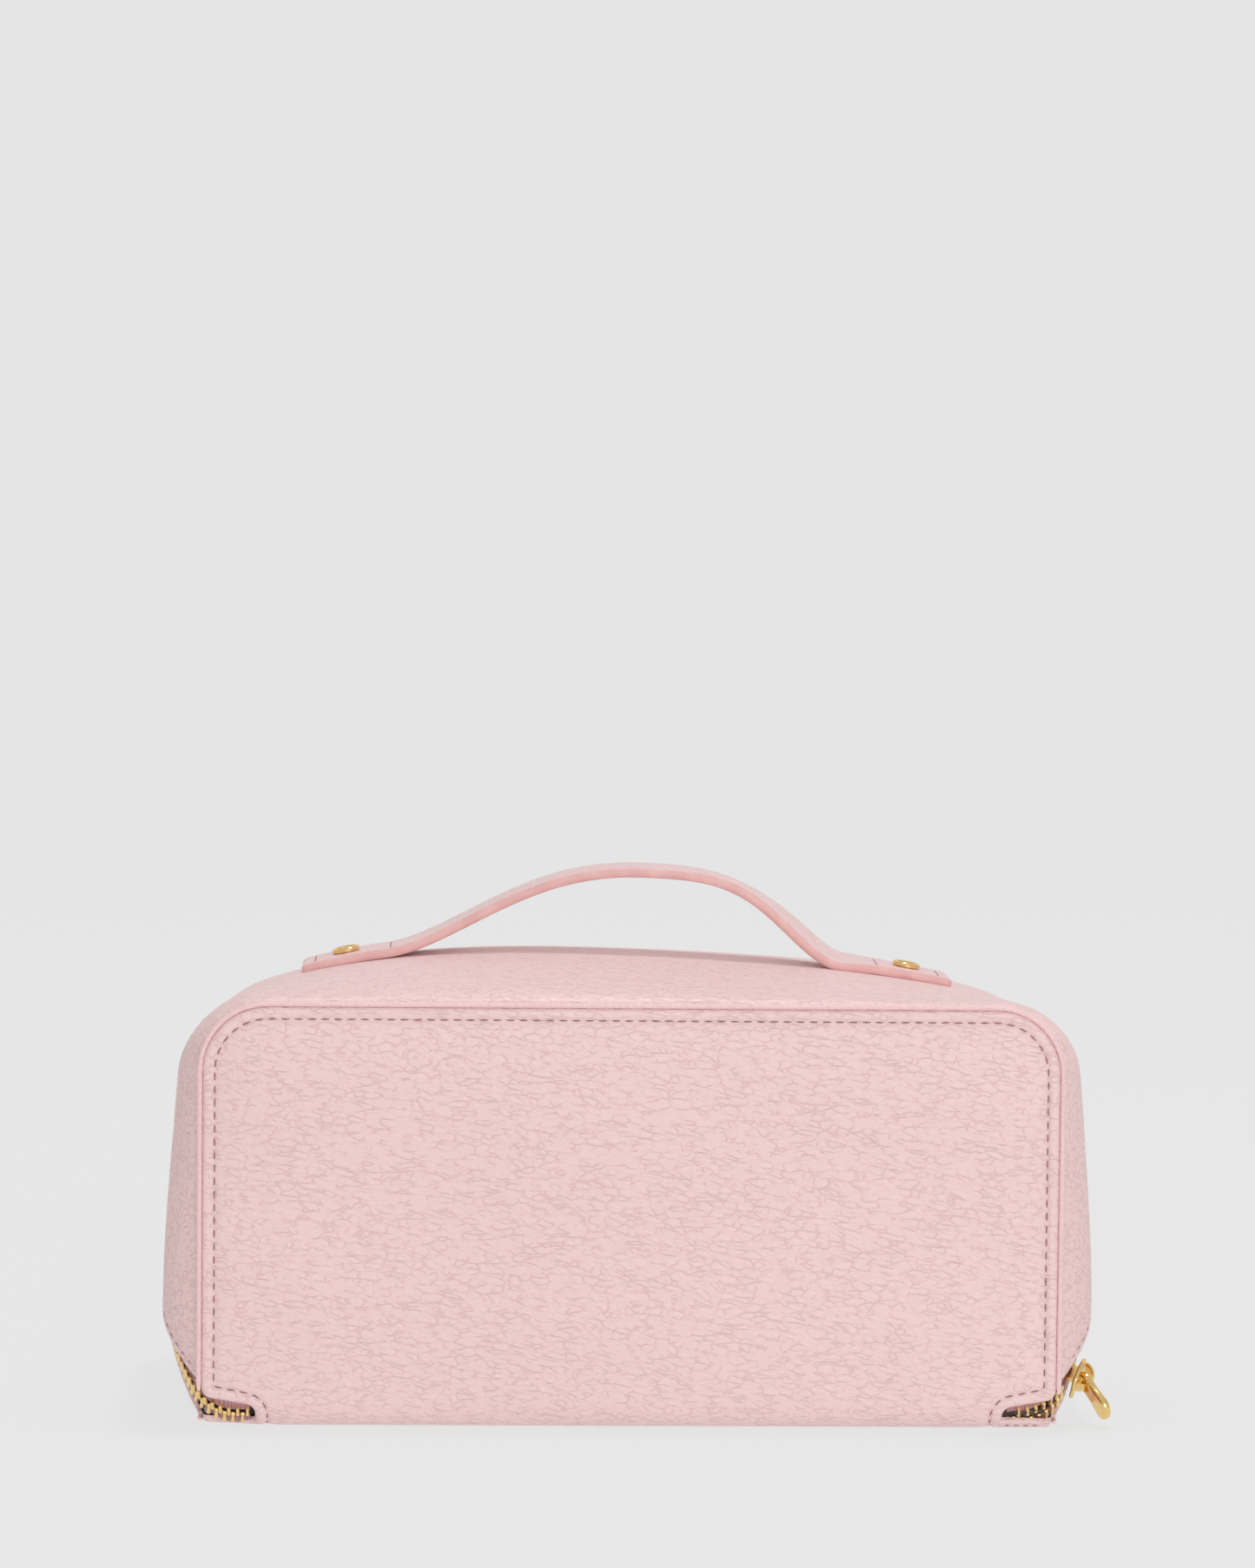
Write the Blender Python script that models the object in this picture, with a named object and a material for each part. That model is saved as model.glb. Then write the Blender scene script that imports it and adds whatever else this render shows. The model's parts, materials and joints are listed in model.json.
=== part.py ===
"""Makeup train case that opens flat: a wedge-shaped cover tray hinged by its leather on a wedge-shaped base tray.

Frame: metres, +Z up, +X along the case's length. The origin is the centre of the base's underside, and the
outside of the hinged back panel faces -Y. The two trays meet along a zip that lies in one slanted plane,
from the hinge edge at the lower back up to the top front edge.
"""
import math

import bmesh
import bpy
from mathutils import Matrix, Vector
from mathutils.bvhtree import BVHTree

# Overall sizes
PANEL_WIDTH = 0.224          # across the side seams of the back and bottom panels
PANEL_HEIGHT = 0.111         # floor to the seam along the back panel's top edge
BODY_DEPTH = 0.112           # back panel's face to the seam along the bottom panel's front edge
CORNER_RADIUS = 0.018        # panel corners, and the rounding of the trays' far edges
HINGE_RADIUS = 0.0078        # the leather's bend along the lower back edge

# How far the soft walls stand out from the flat-sided shape
SIDE_BULGE = 0.0095
TOP_BULGE = 0.0082
TOP_SKEW = 0.52              # how much fuller the top's left half is than its right half
SHOULDER_DROP = 0.0130       # how far the top sinks at its two ends, in front of the back panel's board
SHOULDER_POWER = 4           # higher keeps the sinking closer to the ends
FRONT_BULGE = 0.0060
SIDE_RISE_BACK = 0.016       # distance from the back seam in which the side wall reaches its full bulge
SIDE_RISE_BOTTOM = 0.030     # the same, from the bottom seam
UPPER_SIDE_SHARE = 0.45      # share of the side bulge that is left at the top seam
SIDE_FADE_START = 0.25       # share of the height at which the side bulge starts to fade
SIDE_FADE_SPAN = 0.90        # share of the height over which it fades
CROWN_SPAN = 1.1             # the top's and the front's crowns run out this far past their far edge
CROWN_LEAN = 0.8             # below 1 the crown's highest line moves towards the seam

# Sheet thicknesses and clearances
GAP = 0.0003
LAYER_GAP = 0.0009           # between the curved layers of a wall
LEATHER = 0.0012
PANEL_PLATE = 0.0018
BOARD = 0.0018
FOAM = 0.0018
LINING = 0.0006
PIPING_RADIUS = 0.00065
PANEL_FOOT_RADIUS = 0.0045   # small corners at a panel's hinge edge
BOARD_FOOT_RADIUS = 0.0035
BOARD_SETBACK = 0.0020       # board's hinge edge behind the panel's
FLOOR_SETBACK = 0.0030       # floor lining's hinge edge behind the panel's

# Zip
ZIP_OPENING_HALF = 0.0055    # zip plane to each leather edge
TAPE_HALF = 0.0110
TAPE_THICKNESS = 0.0006
TAPE_UNDER_LEATHER = 0.0010  # tape's outer face below the leather's inner face
TAPE_HALF_AT_ENDS = 0.0044
TEETH_HALF = 0.0030
TEETH_THICKNESS = 0.0024
TEETH_OVER_TAPE = 0.0015     # teeth's outer face above the tape's
ROW_GAP_HALF = 0.00015
ZIP_END_X = 0.098            # where the teeth stop on the hinge edge
ZIP_TURN_RADIUS = 0.010      # the zip's turn from the hinge edge on to the side wall
STOP_LENGTH = 0.0025

# Slider and pull
SLIDER_LENGTH = 0.0105
SLIDER_WIDTH = 0.0092
SLIDER_PLATE = 0.0010
SLIDER_POST_WIDTH = 0.0020
SLIDER_CLEARANCE = 0.0018    # between the slider and the rows of teeth at its two ends
SLIDER_AT = 0.0150           # distance along the side wall, from the hinge edge, of the slider's centre
BRIDGE_LENGTH = 0.0080
BRIDGE_HEIGHT = 0.0034
BRIDGE_WIDTH = 0.0026
BRIDGE_THICKNESS = 0.0009
PULL_PIVOT = 0.00115         # height of the pull's crossbar above the slider, under the bridge
PULL_EYE_RADIUS = 0.0029
PULL_EYE_AT = 0.0020         # eye's centre from the crossbar
PULL_HOLE_WIDTH = 0.0034
PULL_HOLE_START = 0.0007
PULL_HOLE_END = 0.0044
PULL_TAG_RADIUS = 0.0036
PULL_TAG_AT = 0.0100         # tag's centre from the crossbar
PULL_THICKNESS = 0.0013
PULL_LEAN = 131.0            # degrees from pointing up the zip, turning outwards

# Handle
STRAP_WIDTH = 0.020
STRAP_LAYER = 0.0011
STRAP_END_X = 0.0860
STRAP_CROWN_X = 0.0060
STRAP_RISE = 0.0200
STRAP_LEFT_SPAN = 0.0700
STRAP_RIGHT_SPAN = 0.0510
STRAP_LEFT_FULLNESS = 2.3
STRAP_RIGHT_FULLNESS = 3.2
STUD_X = 0.0743
STUD_HEAD_RADIUS = 0.0034
STUD_HEAD_HEIGHT = 0.0014
STUD_POST_RADIUS = 0.0014
STUD_HOLE_CLEARANCE = 0.0003
STUD_NUT_RADIUS = 0.0040
STUD_NUT_HEIGHT = 0.0016

# Inside
FLAP_THICKNESS = 0.0030
FLAP_SIDE_GAP = 0.0090
FLAP_FOOT = 0.0160           # hinge line of the brush flap above the cover's hinge edge
FLAP_TOP_GAP = 0.0190        # from the top of the flap to the level of the back panel's top seam
FLAP_STANDOFF = 0.0016
LOOP_COUNT = 5
LOOP_WIDTH = 0.024
LOOP_HEIGHT = 0.016
LOOP_BOW = 0.0070
LOOP_ELASTIC = 0.0008
DIVIDER_THICKNESS = 0.0040
DIVIDER_HEIGHT = 0.0300
DIVIDER_LENGTH = 0.0560
DIVIDER_X = 0.0380
DIVIDER_BACK = 0.0460        # back end of the dividers from the back panel's face

# Where the walls have their rows of points: shares of the side's length, and distances from the panel
SIDE_SHARES = (0.0, 0.05, 0.12, 0.20, 0.33, 0.50, 0.75)
CORNER_STEPS = 4
TOP_STEPS = 8
WALL_ROWS = (0.0060, 0.0100, 0.0150, 0.0220, 0.0330, 0.0580)
ROW_SPACING = 0.00008
LEAST_WALL = 0.0012          # the rounded tip of a wall beside the hinge is no lower than this
FOOT_STEPS = 3
OUTLINE_STEPS = 6
HINGE_STEPS = 6
ZIP_TURN_STEPS = 5
ZIP_SIDE_STEPS = 12
STRAP_STEPS = 44
BOW_STEPS = 8
ROUND_STEPS = 16
TANGENT_STEP = 0.0005        # how far apart two points are taken to find a direction

HALF_WIDTH = PANEL_WIDTH / 2
INNER_HALF = HALF_WIDTH - CORNER_RADIUS
HINGE_MID = HINGE_RADIUS * (1 - math.sqrt(0.5))
HINGE_AXIS = HINGE_RADIUS * (1 - math.pi / 4)    # keeps the bent leather's length when the case is opened flat
SEAM_LEVEL = PANEL_PLATE + GAP
TAPE_DEPTH = LEATHER + TAPE_UNDER_LEATHER
TEETH_DEPTH = TAPE_DEPTH - TEETH_OVER_TAPE
FLAP_HEIGHT = PANEL_HEIGHT - FLAP_FOOT - FLAP_TOP_GAP
FOAM_INSET = LEATHER + LAYER_GAP
LINING_INSET = FOAM_INSET + FOAM + LAYER_GAP
FLOOR_LEVEL = SEAM_LEVEL + BOARD + GAP
INSIDE_LEVEL = FLOOR_LEVEL + LINING

PINK = (0.83, 0.61, 0.62)
EDGE_PINK = (0.84, 0.50, 0.54)
TAPE_PINK = (0.70, 0.47, 0.50)
LINING_PINK = (0.80, 0.60, 0.60)
BOARD_GREY = (0.55, 0.53, 0.50)
FOAM_WHITE = (0.85, 0.85, 0.83)
GOLD = (0.83, 0.60, 0.28)


# ---------------------------------------------------------------- shape of the case

def clamp(value, low, high):
    """The value, kept between two limits."""
    return min(max(value, low), high)


def ease(share):
    """Rises from 0 to 1 over share 0..1 and stays at 1."""
    return 1 - (1 - clamp(share, 0.0, 1.0)) ** 2


def crown(share):
    """Height of a stuffed wall's crown at a share of the way across it."""
    return math.sin(math.pi * clamp(share / CROWN_SPAN, 0.0, 1.0) ** CROWN_LEAN)


def soften(point):
    """Moves a point of the flat-sided case to its place on the soft, bulging case."""
    x, y, z = point
    depth = y + BODY_DEPTH / 2
    lift = clamp((z / PANEL_HEIGHT - SIDE_FADE_START) / SIDE_FADE_SPAN, 0.0, 1.0)
    fade = 1 - (1 - UPPER_SIDE_SHARE) * lift * lift * (3 - 2 * lift)
    side = SIDE_BULGE * fade
    side *= ease((depth - SEAM_LEVEL) / SIDE_RISE_BACK) * ease((z - SEAM_LEVEL) / SIDE_RISE_BOTTOM)
    across = max(0.0, 1 - (x / HALF_WIDTH) ** 2)
    dome = crown(depth / BODY_DEPTH)
    belly = crown(z / PANEL_HEIGHT)
    skew = 1 - TOP_SKEW * x / HALF_WIDTH
    sink = SHOULDER_DROP * abs(x / HALF_WIDTH) ** SHOULDER_POWER * ease((depth - INSIDE_LEVEL) / BODY_DEPTH)
    up = (TOP_BULGE * across * skew * dome - sink) * max(0.0, z / PANEL_HEIGHT) ** 2
    out = FRONT_BULGE * across * belly * max(0.0, depth / BODY_DEPTH) ** 2
    return Vector((x * (1 + side / HALF_WIDTH), y + out, z + up))


class Tray:
    """One of the two wedge trays, in its own coordinates: x, reach from the hinge edge, level from the panel."""

    def __init__(self, reach, depth, to_case):
        """reach is the panel's size away from the hinge, depth the size of the wall beside the hinge."""
        self.reach = reach
        self.depth = depth
        self.to_case = to_case
        rise = reach - CORNER_RADIUS - HINGE_MID
        run = depth - CORNER_RADIUS - HINGE_MID
        self.slope_reach = rise / math.hypot(rise, run)
        self.slope_level = run / math.hypot(rise, run)

    def lip_reach(self, offset):
        """Reach at which a layer that stops offset short of the zip plane starts at the panel."""
        return HINGE_MID + (offset - HINGE_MID * self.slope_reach) / self.slope_level

    def wall_end(self, turn, radius, offset, reach):
        """Length of the wall from the panel to the zip edge, at one place along the outline."""
        flat = self.depth - CORNER_RADIUS
        level = HINGE_MID + ((reach - HINGE_MID) * self.slope_level - offset) / self.slope_reach
        if level <= flat:
            return level
        lean = math.sin(turn) * self.slope_level
        size = math.hypot(lean, self.slope_reach)
        angle = math.atan2(lean, self.slope_reach) - math.asin(min(1.0, offset / (radius * size)))
        return flat + CORNER_RADIUS * max(0.0, angle)

    def stations(self, tip):
        """Places along the outline, as (x centre, reach centre, turn, side) from one hinge end to the other."""
        top = self.reach - CORNER_RADIUS
        left = []
        for share in SIDE_SHARES:
            left.append((-INNER_HALF, tip + (top - tip) * share, 0.0, -1))
        for step in range(CORNER_STEPS):
            left.append((-INNER_HALF, top, math.pi / 2 * step / CORNER_STEPS, -1))
        middle = []
        for step in range(TOP_STEPS + 1):
            middle.append((-INNER_HALF + 2 * INNER_HALF * step / TOP_STEPS, top, math.pi / 2, 1))
        right = [(-x, reach, turn, 1) for x, reach, turn, side in reversed(left)]
        return left + middle + right

    def wall_point(self, station, radius, length):
        """Point of the wall at a length from the panel, radius being the layer's own corner radius."""
        x, reach, turn, side = station
        flat = self.depth - CORNER_RADIUS
        level = min(length, flat)
        lean = max(0.0, length - flat) / CORNER_RADIUS
        spread = radius * math.cos(lean)
        place = (
            x + side * spread * math.cos(turn),
            reach + spread * math.sin(turn),
            level + radius * math.sin(lean),
        )
        return soften(self.to_case(place))

    def wall_rows(self, start, end):
        """Distances from the panel at which one line of the wall has its points."""
        rows = [start, *WALL_ROWS, self.depth - CORNER_RADIUS]
        fitted = []
        for index, row in enumerate(rows):
            fitted.append(min(row, end - (len(rows) - index) * ROW_SPACING))
        return fitted + [end]

    def wall_grid(self, inset, offset, start, open_radius):
        """Rows of points over a layer's face.

        The face is inset from the case's surface and starts at a level over the panel. Its zip edge lies offset
        from the zip plane, measured on the layer's outer face, whose corner radius is open_radius. The leather,
        which starts at the seam, has its tips beside the hinge rounded off.
        """
        radius = CORNER_RADIUS - inset
        lip = self.lip_reach(ZIP_OPENING_HALF)
        tip = lip + ZIP_TURN_RADIUS / 2
        grid = []
        for station in self.stations(tip):
            x, reach, turn, side = station
            end = self.wall_end(turn, open_radius, offset, reach + open_radius * math.sin(turn))
            close = (tip - lip) / max(reach - lip, tip - lip)
            if turn == 0.0 and start == SEAM_LEVEL:
                end = max(start + (end - start) * math.sqrt(max(0.0, 1 - close ** 2)), start + LEAST_WALL)
            if end - start < LEAST_WALL - ROW_SPACING:
                continue
            grid.append([self.wall_point(station, radius, row) for row in self.wall_rows(start, end)])
        return grid


def cover_place(place):
    """Cover tray coordinates to the case: reach goes up and level goes forward."""
    x, reach, level = place
    return Vector((x, level - BODY_DEPTH / 2, reach))


def base_place(place):
    """Base tray coordinates to the case: reach goes forward and level goes up."""
    x, reach, level = place
    return Vector((x, reach - BODY_DEPTH / 2, level))


COVER = Tray(PANEL_HEIGHT, BODY_DEPTH, cover_place)
BASE = Tray(BODY_DEPTH, PANEL_HEIGHT, base_place)


# ---------------------------------------------------------------- mesh helpers

def material(name, color, roughness, metallic=0.0):
    """Principled material."""
    made = bpy.data.materials.new(name)
    made.use_nodes = True
    shader = made.node_tree.nodes["Principled BSDF"]
    shader.inputs["Base Color"].default_value = (*color, 1.0)
    shader.inputs["Roughness"].default_value = roughness
    shader.inputs["Metallic"].default_value = metallic
    return made


def finish_object(name, mesh_builder, look, origin=Vector((0, 0, 0)), parent=None):
    """Turns a bmesh in case coordinates into a named object whose origin is at the given point."""
    bmesh.ops.recalc_face_normals(mesh_builder, faces=mesh_builder.faces)
    bmesh.ops.translate(mesh_builder, vec=-origin, verts=mesh_builder.verts)
    mesh = bpy.data.meshes.new(name)
    mesh_builder.to_mesh(mesh)
    mesh_builder.free()
    mesh.shade_smooth()
    mesh.set_sharp_from_angle(angle=math.radians(35))
    made = bpy.data.objects.new(name, mesh)
    made.location = origin
    made.data.materials.append(look)
    bpy.context.scene.collection.objects.link(made)
    if parent is not None:
        made.parent = parent
        made.location = origin - parent.location
    return made


def slab_between(outer, inner):
    """Closed body between two grids of points with the same rows and columns."""
    built = bmesh.new()
    faces = []
    for grid in (outer, inner):
        faces.append([[built.verts.new(point) for point in row] for row in grid])
    rows = len(outer)
    columns = len(outer[0])
    for verts in faces:
        for i in range(rows - 1):
            for j in range(columns - 1):
                built.faces.new((verts[i][j], verts[i + 1][j], verts[i + 1][j + 1], verts[i][j + 1]))
    rim = [(i, 0) for i in range(rows)]
    rim += [(rows - 1, j) for j in range(1, columns)]
    rim += [(i, columns - 1) for i in range(rows - 2, -1, -1)]
    rim += [(0, j) for j in range(columns - 2, 0, -1)]
    for (i, j), (k, m) in zip(rim, rim[1:] + rim[:1]):
        built.faces.new((faces[0][i][j], faces[0][k][m], faces[1][k][m], faces[1][i][j]))
    return built


def swept(sections):
    """Closed body through a list of equal-sized rings of points, with flat ends."""
    built = bmesh.new()
    rings = [[built.verts.new(point) for point in ring] for ring in sections]
    for low, high in zip(rings, rings[1:]):
        for i in range(len(low)):
            k = (i + 1) % len(low)
            built.faces.new((low[i], low[k], high[k], high[i]))
    built.faces.new(rings[0])
    built.faces.new(list(reversed(rings[-1])))
    return built


def arc(center_x, center_y, radius, start, end, steps):
    """Points on an arc, angles in degrees."""
    points = []
    for step in range(steps + 1):
        angle = math.radians(start + (end - start) * step / steps)
        points.append((center_x + radius * math.cos(angle), center_y + radius * math.sin(angle)))
    return points


def panel_outline(tray, inset, low, foot_radius):
    """Outline of a flat panel: square foot with small corners, and large corners at the far edge."""
    half = HALF_WIDTH - inset
    top = tray.reach - inset
    radius = CORNER_RADIUS - inset
    outline = arc(half - foot_radius, low + foot_radius, foot_radius, -90, 0, FOOT_STEPS)
    outline += arc(half - radius, top - radius, radius, 0, 90, OUTLINE_STEPS)
    outline += arc(-half + radius, top - radius, radius, 90, 180, OUTLINE_STEPS)
    outline += arc(-half + foot_radius, low + foot_radius, foot_radius, 180, 270, FOOT_STEPS)
    return outline


def plate(tray, outline, level, thickness):
    """Flat plate in tray coordinates."""
    rings = []
    for height in (level, level + thickness):
        rings.append([tray.to_case((x, reach, height)) for x, reach in outline])
    return swept(rings)


# ---------------------------------------------------------------- zip line

def zip_axes():
    """Direction of the zip plane away from the hinge, and the direction across it, towards the cover."""
    along = Vector((0, COVER.slope_level, COVER.slope_reach))
    across = Vector((0, -COVER.slope_reach, COVER.slope_level))
    return along, across


def zip_origin():
    """Middle of the hinge edge's bend, where the zip plane starts."""
    return Vector((0, HINGE_MID - BODY_DEPTH / 2, HINGE_MID))


def zip_straight():
    """Length of the zip's straight run up each side wall, measured from the hinge edge."""
    return math.hypot(COVER.reach - CORNER_RADIUS - HINGE_MID, COVER.depth - CORNER_RADIUS - HINGE_MID)


def zip_line():
    """Zip line from its left end to its right end: (point, outward normal, on the hook or not)."""
    along, across = zip_axes()
    start = zip_origin()
    reach = zip_straight()
    turn = ZIP_TURN_RADIUS
    line = [(Vector((-ZIP_END_X, 0, 0)) + start, -along, True)]
    for step in range(ZIP_TURN_STEPS + 1):
        angle = math.pi / 2 * step / ZIP_TURN_STEPS
        normal = -along * math.cos(angle) + Vector((-1, 0, 0)) * math.sin(angle)
        center = start + Vector((-HALF_WIDTH + turn, 0, 0)) + along * turn
        line.append((center + normal * turn, normal, True))
    for step in range(1, ZIP_SIDE_STEPS + 1):
        length = turn + (reach - turn) * (step / ZIP_SIDE_STEPS) ** 1.4
        line.append((start + Vector((-HALF_WIDTH, 0, 0)) + along * length, Vector((-1, 0, 0)), False))
    corner = start + Vector((-INNER_HALF, 0, 0)) + along * reach
    for step in range(1, ZIP_TURN_STEPS + 1):
        angle = math.pi / 2 * step / ZIP_TURN_STEPS
        normal = Vector((-1, 0, 0)) * math.cos(angle) + along * math.sin(angle)
        line.append((corner + normal * CORNER_RADIUS, normal, False))
    top = corner + along * CORNER_RADIUS
    for step in range(1, TOP_STEPS // 2 + 1):
        line.append((top + Vector((INNER_HALF * step / (TOP_STEPS // 2), 0, 0)), along, False))
    mirrored = []
    for point, normal, hook in reversed(line[:-1]):
        flip = Vector((-1, 1, 1))
        mirrored.append((point * flip, normal * flip, hook))
    return line + mirrored


def zip_point(place, offset, depth):
    """Point on the case beside the zip line: offset across the zip plane, depth below the surface."""
    point, normal, hook = place
    across = zip_axes()[1]
    if hook:
        return soften(point + across * offset - normal * depth)
    wide = point + across * offset
    core = Vector((
        clamp(wide.x, -INNER_HALF, INNER_HALF),
        min(BODY_DEPTH / 2 - CORNER_RADIUS, wide.y),
        min(PANEL_HEIGHT - CORNER_RADIUS, wide.z),
    ))
    return soften(core + (wide - core).normalized() * (CORNER_RADIUS - depth))


def zip_band(line, side, inner, outers, depth, thickness):
    """Strip beside the zip line, from inner to outer offsets on one side of the zip plane."""
    sections = []
    for place, outer in zip(line, outers):
        sections.append([
            zip_point(place, side * inner, depth),
            zip_point(place, side * outer, depth),
            zip_point(place, side * outer, depth + thickness),
            zip_point(place, side * inner, depth + thickness),
        ])
    return swept(sections)


def zip_frame(length):
    """Place, and directions (outward, along, across) on the right-hand zip at a length up the side wall."""
    along, across = zip_axes()
    flat = zip_origin() + Vector((HALF_WIDTH, 0, 0))
    places = []
    for offset in (-SLIDER_POST_WIDTH, 0.0, SLIDER_POST_WIDTH):
        places.append(soften(flat + along * (length + offset)))
    forward = (places[2] - places[0]).normalized()
    sideways = (soften(flat + along * length + across * SLIDER_POST_WIDTH) - places[1]).normalized()
    outward = sideways.cross(forward).normalized()
    if outward.x < 0:
        outward = -outward
    sideways = forward.cross(outward).normalized()
    return places[1], outward, forward, sideways


# ---------------------------------------------------------------- sub-assemblies

def build_tray(tray, names, looks, parent):
    """Panel, board, gusset, foam, lining and piping of one tray."""
    leather, board, foam, lining, edge = looks
    foot = HINGE_RADIUS + GAP
    panel_inset = 2 * PIPING_RADIUS + GAP
    outline = panel_outline(tray, panel_inset, foot, PANEL_FOOT_RADIUS)
    finish_object(names["panel"], plate(tray, outline, 0.0, PANEL_PLATE), leather, parent=parent)
    outline = panel_outline(tray, LEATHER + GAP, foot + BOARD_SETBACK, BOARD_FOOT_RADIUS)
    finish_object(names["board"], plate(tray, outline, SEAM_LEVEL, BOARD), board, parent=parent)
    outline = panel_outline(tray, LINING_INSET + LINING + GAP, foot + FLOOR_SETBACK, BOARD_FOOT_RADIUS)
    finish_object(names["floor"], plate(tray, outline, FLOOR_LEVEL, LINING), lining, parent=parent)

    def layer(inset, thickness, offset, start):
        """Wall layer between two insets from the case's surface."""
        radius = CORNER_RADIUS - inset
        outer = tray.wall_grid(inset, offset, start, radius)
        inner = tray.wall_grid(inset + thickness, offset, start, radius)
        return slab_between(outer, inner)

    gusset_offset = ZIP_OPENING_HALF
    foam_offset = TAPE_HALF + 2 * GAP
    finish_object(names["gusset"], layer(0.0, LEATHER, gusset_offset, SEAM_LEVEL), leather, parent=parent)
    finish_object(names["foam"], layer(FOAM_INSET, FOAM, foam_offset, FLOOR_LEVEL), foam, parent=parent)
    finish_object(names["lining"], layer(LINING_INSET, LINING, gusset_offset, FLOOR_LEVEL), lining,
                  parent=parent)

    inset = PIPING_RADIUS
    path = panel_outline(tray, inset, foot, PANEL_FOOT_RADIUS)[FOOT_STEPS + 1:-FOOT_STEPS - 1]
    low = tray.lip_reach(ZIP_OPENING_HALF) + ZIP_TURN_RADIUS / 2
    path = [(HALF_WIDTH - inset, low)] + path + [(-HALF_WIDTH + inset, low)]
    sections = []
    for index, (x, reach) in enumerate(path):
        before = Vector(path[max(index - 1, 0)])
        after = Vector(path[min(index + 1, len(path) - 1)])
        run = (after - before).normalized()
        ring = []
        for side in range(6):
            angle = math.tau * side / 6
            out = math.cos(angle) * PIPING_RADIUS
            level = PANEL_PLATE / 2 + math.sin(angle) * PIPING_RADIUS
            ring.append(tray.to_case((x + out * run.y, reach - out * run.x, level)))
        sections.append(ring)
    finish_object(names["piping"], swept(sections), edge, parent=parent)


def build_hinge(look):
    """Leather that bends along the lower back edge, between the two zip ends."""
    half = ZIP_END_X - STOP_LENGTH
    outer = []
    inner = []
    for column in range(HINGE_STEPS + 1):
        angle = math.radians(180 + 90 * column / HINGE_STEPS)
        for grid, radius in ((outer, HINGE_RADIUS), (inner, HINGE_RADIUS - PANEL_PLATE)):
            y = HINGE_RADIUS + radius * math.cos(angle) - BODY_DEPTH / 2
            z = HINGE_RADIUS + radius * math.sin(angle)
            grid.append([Vector((-half, y, z)), Vector((0, y, z)), Vector((half, y, z))])
    finish_object("hinge_leather", slab_between(outer, inner), look)


def build_zip(cover_parent, tape_look, gold):
    """Tapes, rows of teeth and end stops, parted at the slider."""
    line = zip_line()
    slider_gap = SLIDER_LENGTH / 2 + SLIDER_CLEARANCE

    start = zip_origin()
    along = zip_axes()[0]

    def tape_edge(place, tray):
        """Half width of the tape, which near the hinge edge stays clear of the tray's board and panel.

        The tape's edge passes either above the panel or behind the panel's foot.
        """
        point, normal, hook = place
        length = (point - start).dot(along)
        board = (HINGE_MID + length * tray.slope_level - FLOOR_LEVEL - GAP) / tray.slope_reach
        inward = -normal.dot(along)
        outer = length + TAPE_DEPTH * inward
        inner = outer + TAPE_THICKNESS * inward
        above = (HINGE_MID + outer * tray.slope_level - PANEL_PLATE - GAP) / tray.slope_reach
        foot = tray.lip_reach(ZIP_OPENING_HALF) - GAP - HINGE_MID
        behind = (foot - inner * tray.slope_reach) / tray.slope_level
        return min(TAPE_HALF, max(TAPE_HALF_AT_ENDS, board), max(above, behind))

    def side_place(length):
        """Place on the right-hand zip line at a length up the side wall."""
        return (start + Vector((HALF_WIDTH, 0, 0)) + along * length, Vector((1, 0, 0)), False)

    before = []
    after = []
    for place in line:
        point, normal, hook = place
        length = (point - start).dot(along)
        on_right = point.x > INNER_HALF - 0.0001
        if on_right and length < SLIDER_AT - slider_gap:
            after.append(place)
        elif not on_right or length > SLIDER_AT + slider_gap:
            before.append(place)
    before.append(side_place(SLIDER_AT + slider_gap))
    after.insert(0, side_place(SLIDER_AT - slider_gap))
    for prefix, side, tray, parent in (("cover", 1, COVER, cover_parent), ("base", -1, BASE, None)):
        edges = [tape_edge(place, tray) for place in line]
        tape = zip_band(line, side, TEETH_HALF + GAP, edges, TAPE_DEPTH, TAPE_THICKNESS)
        finish_object(prefix + "_zip_tape", tape, tape_look, parent=parent)
        for name, stretch in ((prefix + "_teeth", before), (prefix + "_teeth_end", after)):
            row = zip_band(stretch, side, ROW_GAP_HALF, [TEETH_HALF] * len(stretch), TEETH_DEPTH,
                           TEETH_THICKNESS)
            finish_object(name, row, gold, parent=parent)


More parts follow.
